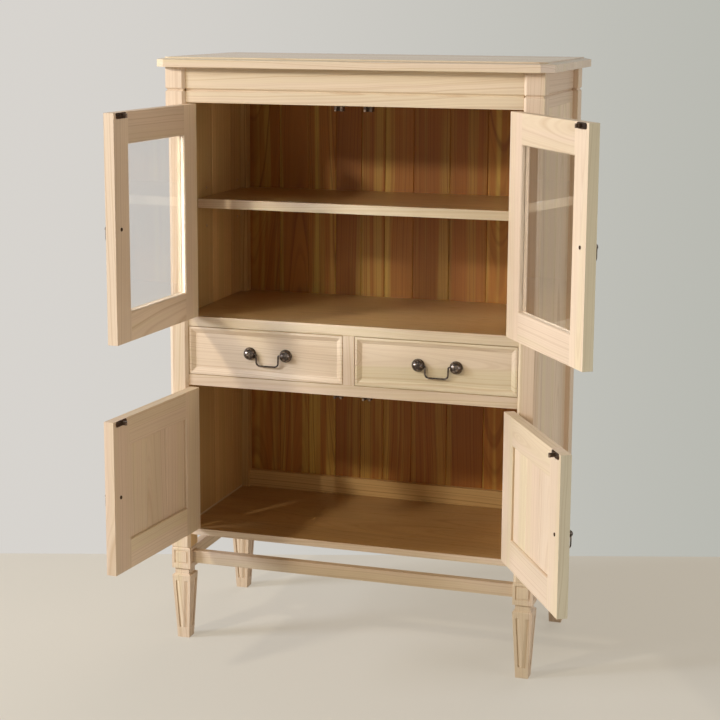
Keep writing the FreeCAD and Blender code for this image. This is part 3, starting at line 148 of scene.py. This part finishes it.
def split(tree, vector):
    node = add(tree, "ShaderNodeSeparateXYZ")
    feed(tree, vector, node.inputs[0])
    return node.outputs


def object_place(tree):
    return add(tree, "ShaderNodeTexCoord").outputs["Object"]


def noise(tree, kind, place, scale, detail, roughness):
    """Soft noise in space, with kind 3D, or along one measure, with kind 1D."""
    node = add(tree, "ShaderNodeTexNoise", noise_dimensions=kind)
    feed(tree, place, node.inputs["Vector" if kind == "3D" else "W"])
    for key, number in (("Scale", scale), ("Detail", detail), ("Roughness", roughness)):
        node.inputs[key].default_value = number
    return node.outputs


def clouds(tree, place, scale=1.0, detail=2.0, roughness=0.5):
    return noise(tree, "3D", place, scale, detail, roughness)["Fac"]


def lines(tree, place, scale, detail=2.0, roughness=0.5):
    return noise(tree, "1D", place, scale, detail, roughness)["Fac"]


def spread(tree, value, low, high, to_low=0.0, to_high=1.0):
    """Takes low to to_low and high to to_high, with a smooth step between."""
    node = add(tree, "ShaderNodeMapRange", interpolation_type="SMOOTHSTEP")
    feed(tree, value, node.inputs["Value"])
    keys = ("From Min", "From Max", "To Min", "To Max")
    for key, number in zip(keys, (low, high, to_low, to_high)):
        node.inputs[key].default_value = number
    return node.outputs["Result"]


def tint(tree, amount, first, second):
    """Mixes two colours, given as sockets or as plain red, green and blue."""
    node = add(tree, "ShaderNodeMix", data_type="RGBA")
    feed(tree, amount, node.inputs["Factor"])
    colours = [socket for socket in node.inputs if socket.type == "RGBA"]
    for source, target in zip((first, second), colours):
        if not isinstance(source, bpy.types.NodeSocket):
            source = (*source, 1.0)
        feed(tree, source, target)
    return next(socket for socket in node.outputs if socket.type == "RGBA")


def relieve(tree, shader, height, strength, distance):
    """Gives a shader fine relief from a height."""
    bump = add(tree, "ShaderNodeBump")
    bump.inputs["Strength"].default_value = strength
    bump.inputs["Distance"].default_value = distance
    feed(tree, height, bump.inputs["Height"])
    feed(tree, bump.outputs[0], shader.inputs["Normal"])


def choose_shader(tree, share, first, second, end="Material Output"):
    """Shows the first shader where the share is 0 and the second where it is 1."""
    choose = add(tree, "ShaderNodeMixShader")
    for source, target in zip((share, first, second), choose.inputs):
        feed(tree, source, target)
    feed(tree, choose.outputs[0], tree.nodes[end].inputs["Surface"])


# Timber, in metres of wood: X runs along the grain, Y across the board and Z through it
STAVE_WIDTH = 0.092
STAVE_MOVE = (3.0, 0.4, 0.05)
BOARD_SHARE = 0.2
DRIFT_SCALE = (2.1, 4.0, 4.0)
DRIFT_REACH = (0.0, 0.022, 0.022)
HEART_SLOPE = 0.03
HEART_DEPTH = 0.09
RING_SCALE = 260.0
FINE_RING_SCALE = 760.0
FIBRE_SCALE = (16.0, 900.0, 900.0)
BAND_SCALE = 0.45
PATCH_SCALE = (1.6, 8.0, 8.0)

# Timber: where the noise of each kind begins to show and where it is full, and its share
RING_SHOWS = (0.46, 0.74)
FINE_RING_SHOWS = (0.45, 0.75)
FINE_RING_SHARE = 0.55
FIBRE_SHOWS = (0.55, 0.8)
FIBRE_SHARE = 0.35
BAND_SHOWS = (0.48, 0.6)
PATCH_SHOWS = (0.3, 0.7)
PATCH_SHADES = (0.94, 1.05)
BLUSH_SHARE = 0.55
TONE_FALL = -0.1
TONE_START = 0.05

# Timber: its surface
WOOD_IOR = 1.45
FIBRE_ROUGHNESS = 0.16
FIBRE_HEIGHT = 0.6
RING_HEIGHT = 0.4
WOOD_RELIEF = 0.2
WOOD_DEPTH = 0.25 * MM


def stave_by_stave(tree, place, tone):
    """Starts the grain afresh, and changes the tone, from one glued stave to the next."""
    across = split(tree, place)["Y"]
    index = reckon(tree, "FLOOR", reckon(tree, "DIVIDE", across, STAVE_WIDTH))
    chance = add(tree, "ShaderNodeTexWhiteNoise", noise_dimensions="1D")
    feed(tree, index, chance.inputs["W"])
    moved = stretch(tree, chance.outputs["Color"], STAVE_MOVE, place)
    own = reckon(tree, "MULTIPLY", chance.outputs["Value"], 1 - BOARD_SHARE)
    return moved, reckon(tree, "MULTIPLY_ADD", tone, BOARD_SHARE, own)


def heart_distance(tree, place):
    """The way to the heart of the log, which runs slowly in and out of the board."""
    parts = split(tree, place)
    lean = reckon(tree, "MULTIPLY_ADD", parts["X"], HEART_SLOPE, HEART_SLOPE)
    heart = reckon(tree, "PINGPONG", lean, HEART_DEPTH)
    wide = square(tree, parts["Y"])
    deep = square(tree, reckon(tree, "ADD", parts["Z"], heart))
    return reckon(tree, "SQRT", reckon(tree, "ADD", wide, deep))


def timber(name, tones, grain, streaks=0.5, variety=1.0, staves=False, rough=0.5, band=0.048):
    """Straight-grained timber; the grain follows each board's own attribute."""
    material, tree, shader = new_material(name)
    place = add(tree, "ShaderNodeAttribute", attribute_name="grain").outputs["Vector"]
    tone = add(tree, "ShaderNodeAttribute", attribute_name="tone").outputs["Fac"]
    if staves:
        place, tone = stave_by_stave(tree, place, tone)
    drift = noise(tree, "3D", stretch(tree, place, DRIFT_SCALE), 1.0, 2.0, 0.5)["Color"]
    bent = stretch(tree, drift, DRIFT_REACH, place)
    radius = heart_distance(tree, bent)
    ring = lines(tree, radius, RING_SCALE, roughness=0.6)
    fine = lines(tree, radius, FINE_RING_SCALE, detail=1.0)
    fibre = clouds(tree, stretch(tree, place, FIBRE_SCALE), roughness=0.6)
    bands = clouds(tree, stretch(tree, bent, (BAND_SCALE, 1 / band, 1 / band)))
    patches = clouds(tree, stretch(tree, place, PATCH_SCALE))

    late_wood = reckon(tree, "MULTIPLY", spread(tree, ring, *RING_SHOWS), grain)
    fine_wood = spread(tree, fine, *FINE_RING_SHOWS)
    dark = reckon(tree, "MULTIPLY_ADD", fine_wood, grain * FINE_RING_SHARE, late_wood, clamp=True)
    blushed = reckon(tree, "MULTIPLY", tone, BLUSH_SHARE * variety, clamp=True)
    fibrous = spread(tree, fibre, *FIBRE_SHOWS, 0.0, FIBRE_SHARE * grain)
    streaked = spread(tree, bands, *BAND_SHOWS, 0.0, streaks)
    colour = tint(tree, streaked, tones["early"], tones["streak"])
    colour = tint(tree, blushed, colour, tones["blush"])
    colour = tint(tree, dark, colour, tones["late"])
    colour = tint(tree, fibrous, colour, tones["late"])

    shade = reckon(tree, "MULTIPLY_ADD", tone, TONE_FALL * variety, 1 + TONE_START * variety)
    shade = reckon(tree, "MULTIPLY", shade, spread(tree, patches, *PATCH_SHOWS, *PATCH_SHADES))
    shaded = add(tree, "ShaderNodeVectorMath", operation="SCALE")
    feed(tree, colour, shaded.inputs[0])
    feed(tree, shade, shaded.inputs["Scale"])
    feed(tree, shaded.outputs[0], shader.inputs["Base Color"])
    uneven = reckon(tree, "MULTIPLY_ADD", fibre, FIBRE_ROUGHNESS, rough)
    feed(tree, uneven, shader.inputs["Roughness"])
    shader.inputs["IOR"].default_value = WOOD_IOR
    height = reckon(tree, "MULTIPLY", ring, RING_HEIGHT)
    height = reckon(tree, "MULTIPLY_ADD", fibre, FIBRE_HEIGHT, height)
    relieve(tree, shader, height, WOOD_RELIEF, WOOD_DEPTH)
    return material


CREAM = {
    "early": (0.71, 0.55, 0.385),
    "late": (0.49, 0.31, 0.165),
    "streak": (0.66, 0.55, 0.31),
    "blush": (0.70, 0.505, 0.355),
}
# Right-hand doors' free edges: a paler finish as a painted highlight of glare
STRAW_PAINTED_GLARE = {
    "early": (0.75, 0.66, 0.46),
    "late": (0.58, 0.48, 0.29),
    "streak": (0.76, 0.71, 0.57),
    "blush": (0.70, 0.58, 0.36),
}
# Back boards inside: darker wood, further darkened and reddened as painted shade for the inside
# of the rooms
RUSSET_PAINTED_SHADE = {
    "early": (0.43, 0.175, 0.03),
    "late": (0.20, 0.06, 0.008),
    "streak": (0.63, 0.43, 0.09),
    "blush": (0.33, 0.105, 0.015),
}
# Shelf, deck and floor faces inside the rooms: pale wood darkened to brown as painted shade
BROWN_PAINTED_SHADE = {
    "early": (0.46, 0.27, 0.105),
    "late": (0.29, 0.14, 0.042),
    "streak": (0.47, 0.30, 0.12),
    "blush": (0.42, 0.22, 0.078),
}
# Side walls inside and drawer sides: pale wood turned a saturated tan as painted shade
TAN_PAINTED_SHADE = {
    "early": (0.76, 0.51, 0.22),
    "late": (0.42, 0.22, 0.06),
    "streak": (0.56, 0.40, 0.15),
    "blush": (0.55, 0.33, 0.13),
}
DUN = {
    "early": (0.56, 0.39, 0.22),
    "late": (0.40, 0.25, 0.12),
    "streak": (0.56, 0.43, 0.22),
    "blush": (0.49, 0.30, 0.16),
}

PALE = timber("pale_timber", CREAM, grain=0.4, rough=0.38)
PALE_GLUED = timber("pale_glued_timber", CREAM, grain=0.4, staves=True, rough=0.16)
# Painted highlight of glare on the right-hand doors' free edges
STILE_EDGE_PAINTED_GLARE = timber("stile_edge_timber_painted_glare", STRAW_PAINTED_GLARE, grain=0.5)
# Back boards' inner faces: darker wood with painted shade
INNER_DARK_PAINTED_SHADE = timber("inner_dark_timber_painted_shade", RUSSET_PAINTED_SHADE, grain=0.45, streaks=0.85, variety=1.2, band=0.028)
# Glued boards' faces inside the rooms: painted shade
INNER_GLUED_PAINTED_SHADE = timber("inner_glued_timber_painted_shade", BROWN_PAINTED_SHADE, grain=0.4, staves=True, rough=0.22)
# Inner side walls: painted shade
WALLS_PAINTED_SHADE = timber("inner_side_timber_painted_shade", TAN_PAINTED_SHADE, grain=0.6)
REAR = timber("rear_timber", DUN, grain=0.5)


# Metal and glass
RUB_SCALE = 210.0
RUB_SHOWS = (0.46, 0.7)
RUB_SHINE = -0.16
GROUND_DULL = 0.1
GRIT_SCALE = 1900.0
GRIT_RELIEF = 0.25
GRIT_DEPTH = 0.12 * MM
METALLIC = 0.85
GLASS_IOR = 1.5
GLASS_COLOUR = (1.0, 1.0, 0.995, 1.0)
GLASS_SHADOW = (0.9, 0.93, 0.91, 1.0)
RIPPLE_SCALE = 14.0
RIPPLE_RELIEF = 0.05
RIPPLE_DEPTH = 0.1 * MM


def dark_metal(name, worn, ground, roughness):
    """Antiqued dark metal, rubbed a little brighter in places."""
    material, tree, shader = new_material(name)
    place = object_place(tree)
    patches = clouds(tree, place, RUB_SCALE, 4.0, 0.6)
    grit = clouds(tree, place, GRIT_SCALE)
    rubbed = spread(tree, patches, *RUB_SHOWS)
    feed(tree, tint(tree, rubbed, ground, worn), shader.inputs["Base Color"])
    shader.inputs["Metallic"].default_value = METALLIC
    uneven = reckon(tree, "MULTIPLY_ADD", patches, RUB_SHINE, roughness + GROUND_DULL)
    feed(tree, uneven, shader.inputs["Roughness"])
    relieve(tree, shader, grit, GRIT_RELIEF, GRIT_DEPTH)
    return material


def window_glass(name):
    """Clear sheet glass that lets lamp light through."""
    material, tree, shader = new_material(name)
    shader.inputs["Base Color"].default_value = GLASS_COLOUR
    shader.inputs["Transmission Weight"].default_value = 1.0
    shader.inputs["Roughness"].default_value = 0.0
    shader.inputs["IOR"].default_value = GLASS_IOR
    ripple = clouds(tree, object_place(tree), RIPPLE_SCALE)
    relieve(tree, shader, ripple, RIPPLE_RELIEF, RIPPLE_DEPTH)
    clear = add(tree, "ShaderNodeBsdfTransparent")
    clear.inputs["Color"].default_value = GLASS_SHADOW
    lamp_light = add(tree, "ShaderNodeLightPath").outputs["Is Shadow Ray"]
    choose_shader(tree, lamp_light, shader.outputs[0], clear.outputs[0])
    return material


KEPT_FINISHES = {
    "pull_metal": dark_metal("antiqued_metal", (0.34, 0.27, 0.22), (0.07, 0.052, 0.042), 0.22),
    "catch_metal": dark_metal("browned_metal", (0.42, 0.31, 0.23), (0.11, 0.075, 0.055), 0.26),
    "hinge_metal": dark_metal("dull_brass", (0.45, 0.33, 0.17), (0.26, 0.185, 0.095), 0.4),
    "glass": window_glass("window_glass"),
}


# Boards: how their edges are eased, and how near points have to be to count as one
EDGE_SOFTNESS = 0.55 * MM
EDGE_ROUNDS = 2
EDGE_ANGLE = math.radians(28)
FLAT_ANGLE = math.radians(0.4)
WELD = 0.01 * MM
LEAST_TURN = 0.001

# Boards: how near a place and how square to a direction a face has to be
SKIN = 3 * MM
FACING = 0.5
SQUARELY = 0.7

# Boards: the draws that each one gets, in metres along the trunk and from its heart
COUNT_ALONG = Vector((1.0, 0.1, 0.01))
HEART_CHANCE = 0.2
HEART_OFF = (0.0, 0.03)
USUAL_OFF = (0.06, 0.2)
TRUNK = (0, 9)
DEPTH = (-0.02, 0.05)

# Boards: places read from the frame
DOORS = ("upper_left", "upper_right", "lower_left", "lower_right")
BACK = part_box("back_boards")
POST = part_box("front_left_post")
FLOOR_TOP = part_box("floor_board")[1][2]
MIDDLE = (BACK[0][0] + BACK[1][0]) / 2
WALL_PLANES = (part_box("left_side_boards")[1][0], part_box("right_side_boards")[0][0])
ROOM_HALF = MIDDLE - WALL_PLANES[0] + SKIN


def door_of(name):
    return next((door for door in DOORS if name.startswith(f"{door}_")), None)


def board_axes(name):
    """A piece's own directions at rest: along its width, through it, upwards."""
    door = door_of(name)
    if door:
        across = Vector(JOINTS[f"{door}_ring_swing"]["axis"]).normalized()
        return [across, Vector((-across.y, across.x, 0)), Vector((0, 0, 1))]
    return [Vector((1, 0, 0)), Vector((0, 1, 0)), Vector((0, 0, 1))]


def turn(start, end, face, other):
    """The angle through the wood from one face to another about their edge."""
    along = (end - start).normalized()

    def inward(item):
        way = item.calc_center_median() - start
        return (way - along * way.dot(along)).normalized()

    way = inward(other)
    angle = math.atan2(-way.dot(face.normal), way.dot(inward(face))) % math.tau
    return angle if angle > LEAST_TURN else math.tau


def half_edges(mesh):
    """The faces along each edge, by the edge's two rounded ends in the face's own order."""
    sides = {}
    for face in mesh.faces:
        corners = []
        for vertex in face.verts:
            corners.append((tuple(round(part / WELD) for part in vertex.co), vertex.co))
        for (low, start), (high, end) in zip(corners, corners[1:] + corners[:1]):
            if low != high:
                sides.setdefault((low, high), []).append((face, start, end))
    return sides


def join_boards(mesh):
    """Joins the loose triangles of each board, and keeps touching boards apart."""
    sides = half_edges(mesh)
    touching = {face: [] for face in mesh.faces}
    for (low, high), faces in sides.items():
        others = [other for other, _, _ in sides.get((high, low), [])]
        for face, start, end in faces:
            if others:
                other = min(others, key=lambda item: turn(start, end, face, item))
                touching[face].append(other)
                touching[other].append(face)
    left = dict.fromkeys(mesh.faces)
    boards = []
    while left:
        board = [left.popitem()[0]]
        for face in board:
            for other in touching[face]:
                if other in left:
                    del left[other]
                    board.append(other)
        boards.append(dict.fromkeys(vertex for face in board for vertex in face.verts))
    for board in boards:
        loose = [vertex for vertex in board if vertex.is_valid]
        bmesh.ops.remove_doubles(mesh, verts=loose, dist=WELD)


def boards_of(mesh):
    """Lists of the vertices that hang together."""
    left = dict.fromkeys(mesh.verts)
    while left:
        board = [left.popitem()[0]]
        for vertex in board:
            for edge in vertex.link_edges:
                other = edge.other_vert(vertex)
                if other in left:
                    del left[other]
                    board.append(other)
        yield board


def counted_from(board):
    """The place that decides a board's turn, slanted so that no two boards tie."""
    reach = [vertex.co.dot(COUNT_ALONG) for vertex in board]
    return min(reach) + max(reach)


def span(board, axis):
    """A board's length along an axis, and where it starts."""
    reach = [vertex.co.dot(axis) for vertex in board]
    return max(reach) - min(reach), min(reach), axis


def lay_grain(mesh, axes, chance):
    """Gives every board its own grain direction, start and tone."""
    grain = mesh.verts.layers.float_vector.new("grain")
    tone = mesh.verts.layers.float.new("tone")
    for board in sorted(boards_of(mesh), key=counted_from):
        spans = sorted((span(board, axis) for axis in axes), key=lambda item: -item[0])
        side = chance.choice((-1, 1))
        off = USUAL_OFF if chance.random() > HEART_CHANCE else HEART_OFF
        off = side * chance.uniform(*off)
        start = Vector((chance.uniform(*TRUNK), off, chance.uniform(*DEPTH)))
        level = chance.random()
        for vertex in board:
            along = [vertex.co.dot(axis) - low - size / 2 for size, low, axis in spans]
            vertex[grain] = Vector(along) + start
            vertex[tone] = level


def ease_edges(mesh):
    """Rounds the sharp edges of the boards, once their flat faces are whole."""
    mesh.normal_update()
    join_boards(mesh)
    bmesh.ops.dissolve_limit(
        mesh, angle_limit=FLAT_ANGLE, verts=mesh.verts, edges=mesh.edges, delimit={"NORMAL"}
    )
    sharp = []
    for edge in mesh.edges:
        if len(edge.link_faces) == 2 and edge.calc_face_angle(0) > EDGE_ANGLE:
            sharp.append(edge)
    bmesh.ops.bevel(
        mesh,
        geom=sharp,
        offset=EDGE_SOFTNESS,
        segments=EDGE_ROUNDS,
        profile=0.5,
        affect="EDGES",
        clamp_overlap=True,
        material=-1,
    )


def cut_at_walls(mesh):
    """Parts a post's faces where the side boards meet it, for the change there to the finish with
    painted shade inside.
    """
    for plane in WALL_PLANES:
        everything = mesh.verts[:] + mesh.edges[:] + mesh.faces[:]
        place = (plane, 0, 0)
        bmesh.ops.bisect_plane(mesh, geom=everything, plane_co=place, plane_no=(1, 0, 0))
    mesh.edges.sort(key=lambda edge: (edge.verts[0].co + edge.verts[1].co).dot(COUNT_ALONG))
    mesh.faces.sort(key=lambda face: face.calc_center_median().dot(COUNT_ALONG))


def wooden(name, finishes, choose):
    """Copy of a wooden node with eased edges and grain laid board by board."""
    source = NODES[name]
    mesh = bmesh.new()
    mesh.from_mesh(source.data)
    ease_edges(mesh)
    if name.endswith("_post"):
        cut_at_walls(mesh)
    lay_grain(mesh, board_axes(name), random.Random(name))
    mesh.normal_update()
    for face in mesh.faces:
        face.material_index = choose(face)
        face.smooth = False
    data = bpy.data.meshes.new(f"{name}_wood")
    mesh.to_mesh(data)
    mesh.free()
    piece = bpy.data.objects.new(f"{name}_wood", data)
    bpy.context.scene.collection.objects.link(piece)
    for finish in finishes:
        data.materials.append(finish)
    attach(piece, source["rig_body"])
    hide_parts(name)


# Which finish a face takes, as a place in its node's list
def plain(face):
    return 0


# Back boards: rear faces take the rear finish, the faces inside take the darker wood with painted
# shade
def rear_side(face):
    return 1 if face.normal.y > FACING else 0


# The shelf's broad faces take the finish with painted shade; its edges stay pale
def broad_side(face):
    return 1 if abs(face.normal.z) > SQUARELY else 0


def room_side(face):
    """Picks out the faces that look into the cabinet's rooms, which take the finishes with
    painted shade.
    """
    centre = face.calc_center_median()
    across = centre.x - MIDDLE
    within = abs(across) < ROOM_HALF and centre.y < BACK[0][1] + SKIN
    if not within or centre.z < FLOOR_TOP - SKIN:
        return 0
    if face.normal.y < -FACING:
        looks_in = centre.y > POST[1][1]
    elif face.normal.x * across < -FACING * abs(across):
        looks_in = centre.y > POST[0][1] + SKIN
    else:
        looks_in = abs(face.normal.z) > SQUARELY
    return 1 if looks_in else 0


def free_edge_glare_side(name):
    """Picks out the narrow face along a right-hand door's free edge, which takes a paler finish
    as a painted highlight of glare.
    """
    along = board_axes(name)[0]
    pin = Vector(JOINTS[f"{door_of(name)}_door_hinge"]["pos_m"]).dot(along)
    reach = [vertex.co.dot(along) for vertex in NODES[name].data.vertices]
    far = max(reach, key=lambda place: abs(place - pin))
    outward = along * math.copysign(1, far - pin)

    def choose(face):
        on_edge = abs(face.calc_center_median().dot(along) - far) < SKIN
        return 1 if on_edge and face.normal.dot(outward) > SQUARELY and "right" in name else 0

    return choose


def finish_for(name):
    """The finishes of a wooden node, and what picks one of them for a face."""
    if name == "adjustable_shelf":
        return [PALE_GLUED, INNER_GLUED_PAINTED_SHADE], broad_side
    if name in ("deck_board", "floor_board"):
        return [PALE_GLUED, INNER_GLUED_PAINTED_SHADE], room_side
    if name == "top_board":
        return [PALE_GLUED], plain
    if name == "back_boards":
        return [INNER_DARK_PAINTED_SHADE, REAR], rear_side
    # Inner pieces such as drawer sides take the side-wall finish with painted shade
    if name == "low_back_rail" or SLOTS[name] == "inner_wood":
        return [WALLS_PAINTED_SHADE], plain
    if name.endswith("_door_frame"):
        return [PALE, STILE_EDGE_PAINTED_GLARE], free_edge_glare_side(name)
    # Other pieces are pale outside, with painted shade on the faces inside the rooms
    return [PALE, WALLS_PAINTED_SHADE], room_side


for name, slot in sorted(SLOTS.items()):
    if slot in KEPT_FINISHES:
        data = NODES[name].data
        data.materials.clear()
        data.materials.append(KEPT_FINISHES[slot])
    else:
        wooden(name, *finish_for(name))


# Floor and backdrop, square to the camera's own heading
WALL_POINT = Vector((-0.255, 0.665, 0))
WALL_REACH = 9.0
WALL_ALONG = Vector((math.cos(YAW), math.sin(YAW), 0))
FROM_WALL = Vector((math.sin(YAW), -math.cos(YAW), 0))
# Where the backdrop's painted light falls off, from its bright left to its darker right
PAINTED_FALLOFF_ACROSS = (-1.1, 0.9)
FLOOR_FADES = (1.2, 3.2)
NEAR_SHARE = 0.5
FLOOR_COLOUR = (0.62, 0.58, 0.50, 1.0)
FLOOR_ROUGHNESS = 0.8


def seen_directly(tree):
    """1 for a ray from the eye, a gloss or a pane, and 0 for light on its way."""
    path = add(tree, "ShaderNodeLightPath").outputs
    direct = reckon(tree, "ADD", path["Is Camera Ray"], path["Is Glossy Ray"])
    return reckon(tree, "ADD", direct, path["Is Transmission Ray"], clamp=True)


def painted_falloff_glow(tree, left, right):
    """A pale glow standing in for the room's light, painted brighter at the left and darker at
    the right.
    """
    across = split(tree, object_place(tree))["X"]
    glow = add(tree, "ShaderNodeEmission")
    share = spread(tree, across, *PAINTED_FALLOFF_ACROSS)
    feed(tree, tint(tree, share, left, right), glow.inputs["Color"])
    return glow.outputs[0]


def floor_paint():
    """Takes the cabinet's shadow near it, and far off is a glow with painted light, brighter at
    the left than at the right.
    """
    material, tree, shader = new_material("floor_paint")
    shader.inputs["Base Color"].default_value = FLOOR_COLOUR
    shader.inputs["Roughness"].default_value = FLOOR_ROUGHNESS
    reach = add(tree, "ShaderNodeVectorMath", operation="LENGTH")
    feed(tree, object_place(tree), reach.inputs[0])
    flat = spread(tree, reach.outputs["Value"], *FLOOR_FADES, NEAR_SHARE, 1.0)
    share = reckon(tree, "MULTIPLY", seen_directly(tree), flat)
    # Painted light: the floor's glow is brighter at the left than at the right
    glow = painted_falloff_glow(tree, (0.76, 0.69, 0.58), (0.66, 0.60, 0.50))
    choose_shader(tree, share, shader.outputs[0], glow)
    return material


def wall_paint():
    """Shows from the front alone, so the cabinet's back is free to light and eye. Seen from the
    front, it is a glow with painted light, brighter at the left than at the right.
    """
    material, tree, _ = new_material("wall_paint")
    behind = add(tree, "ShaderNodeNewGeometry").outputs["Backfacing"]
    front = reckon(tree, "SUBTRACT", 1.0, behind)
    share = reckon(tree, "MULTIPLY", seen_directly(tree), front)
    clear = add(tree, "ShaderNodeBsdfTransparent").outputs[0]
    # Painted light: the wall's glow is brighter at the left than at the right
    glow = painted_falloff_glow(tree, (0.68, 0.655, 0.62), (0.475, 0.48, 0.435))
    choose_shader(tree, share, clear, glow)
    return material


def sheet(name, material, corners):
    mesh = bmesh.new()
    mesh.faces.new([mesh.verts.new(corner) for corner in corners])
    data = bpy.data.meshes.new(name)
    mesh.to_mesh(data)
    mesh.free()
    piece = bpy.data.objects.new(name, data)
    bpy.context.scene.collection.objects.link(piece)
    data.materials.append(material)
    piece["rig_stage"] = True


foot_left = WALL_POINT - WALL_REACH * WALL_ALONG
foot_right = WALL_POINT + WALL_REACH * WALL_ALONG
forth = 2 * WALL_REACH * FROM_WALL
rise = Vector((0, 0, WALL_REACH))
floor_corners = [foot_left + forth, foot_right + forth, foot_right - forth, foot_left - forth]
sheet("floor", floor_paint(), floor_corners)
sheet("wall", wall_paint(), [foot_left, foot_right, foot_right + rise, foot_left + rise])


# Lamps: place, aim and size in metres, power in watts, and colour
def lamp(name, place, aim, size, power, colour):
    light = bpy.data.lights.new(name, "AREA")
    light.shape = "RECTANGLE"
    light.size, light.size_y = size
    light.energy = power
    light.color = colour
    item = bpy.data.objects.new(name, light)
    item.location = place
    item.rotation_euler = (Vector(aim) - Vector(place)).to_track_quat("-Z", "Y").to_euler()
    bpy.context.scene.collection.objects.link(item)


lamp("window", (-6.2, -3.3, 2.8), (0, 0, 0.75), (1.8, 1.6), 470, (0.88, 0.98, 1.18))
lamp("high_lamp", (-1.54, -2.12, 2.04), (0.05, 0.2, 0.85), (0.18, 0.18), 30, (1.0, 0.93, 0.8))
lamp("back_fill", (0.7, 4.2, 2.6), (0, 0.35, 0.7), (3.0, 3.0), 48, (1.0, 0.98, 0.95))
lamp("side_fill", (3.7, -0.7, 1.2), (0.4, 0.1, 0.7), (2.0, 2.0), 38, (0.97, 1.0, 1.08))

world = bpy.data.worlds.new("daylight")
bpy.context.scene.world = world
world.use_nodes = True
sky = world.node_tree.nodes["Background"]
sky.inputs["Color"].default_value = (1.0, 0.86, 0.66, 1.0)
sky.inputs["Strength"].default_value = 0.24
backdrop = add(world.node_tree, "ShaderNodeBackground")
backdrop.inputs["Color"].default_value = (0.56, 0.55, 0.52, 1.0)
direct = seen_directly(world.node_tree)
choose_shader(world.node_tree, direct, sky.outputs[0], backdrop.outputs[0], "World Output")


# Camera
level = math.cos(PITCH)
ahead = Vector((-math.sin(YAW) * level, math.cos(YAW) * level, -math.sin(PITCH)))
right = Vector((math.cos(YAW), math.sin(YAW), 0))
up = right.cross(ahead)
right = math.cos(ROLL) * right + math.sin(ROLL) * up
up = right.cross(ahead)
lens = bpy.data.cameras.new("eye")
lens.lens = LENS
lens.sensor_width = SENSOR
lens.shift_x, lens.shift_y = SHIFT
camera = bpy.data.objects.new("eye", lens)
camera.matrix_world = Matrix.Translation(EYE) @ Matrix((right, up, -ahead)).transposed().to_4x4()
bpy.context.scene.collection.objects.link(camera)
bpy.context.scene.camera = camera
bpy.context.scene.view_settings.view_transform = "Standard"

[[list(corner) for corner in box] for box in (cad_box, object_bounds())]
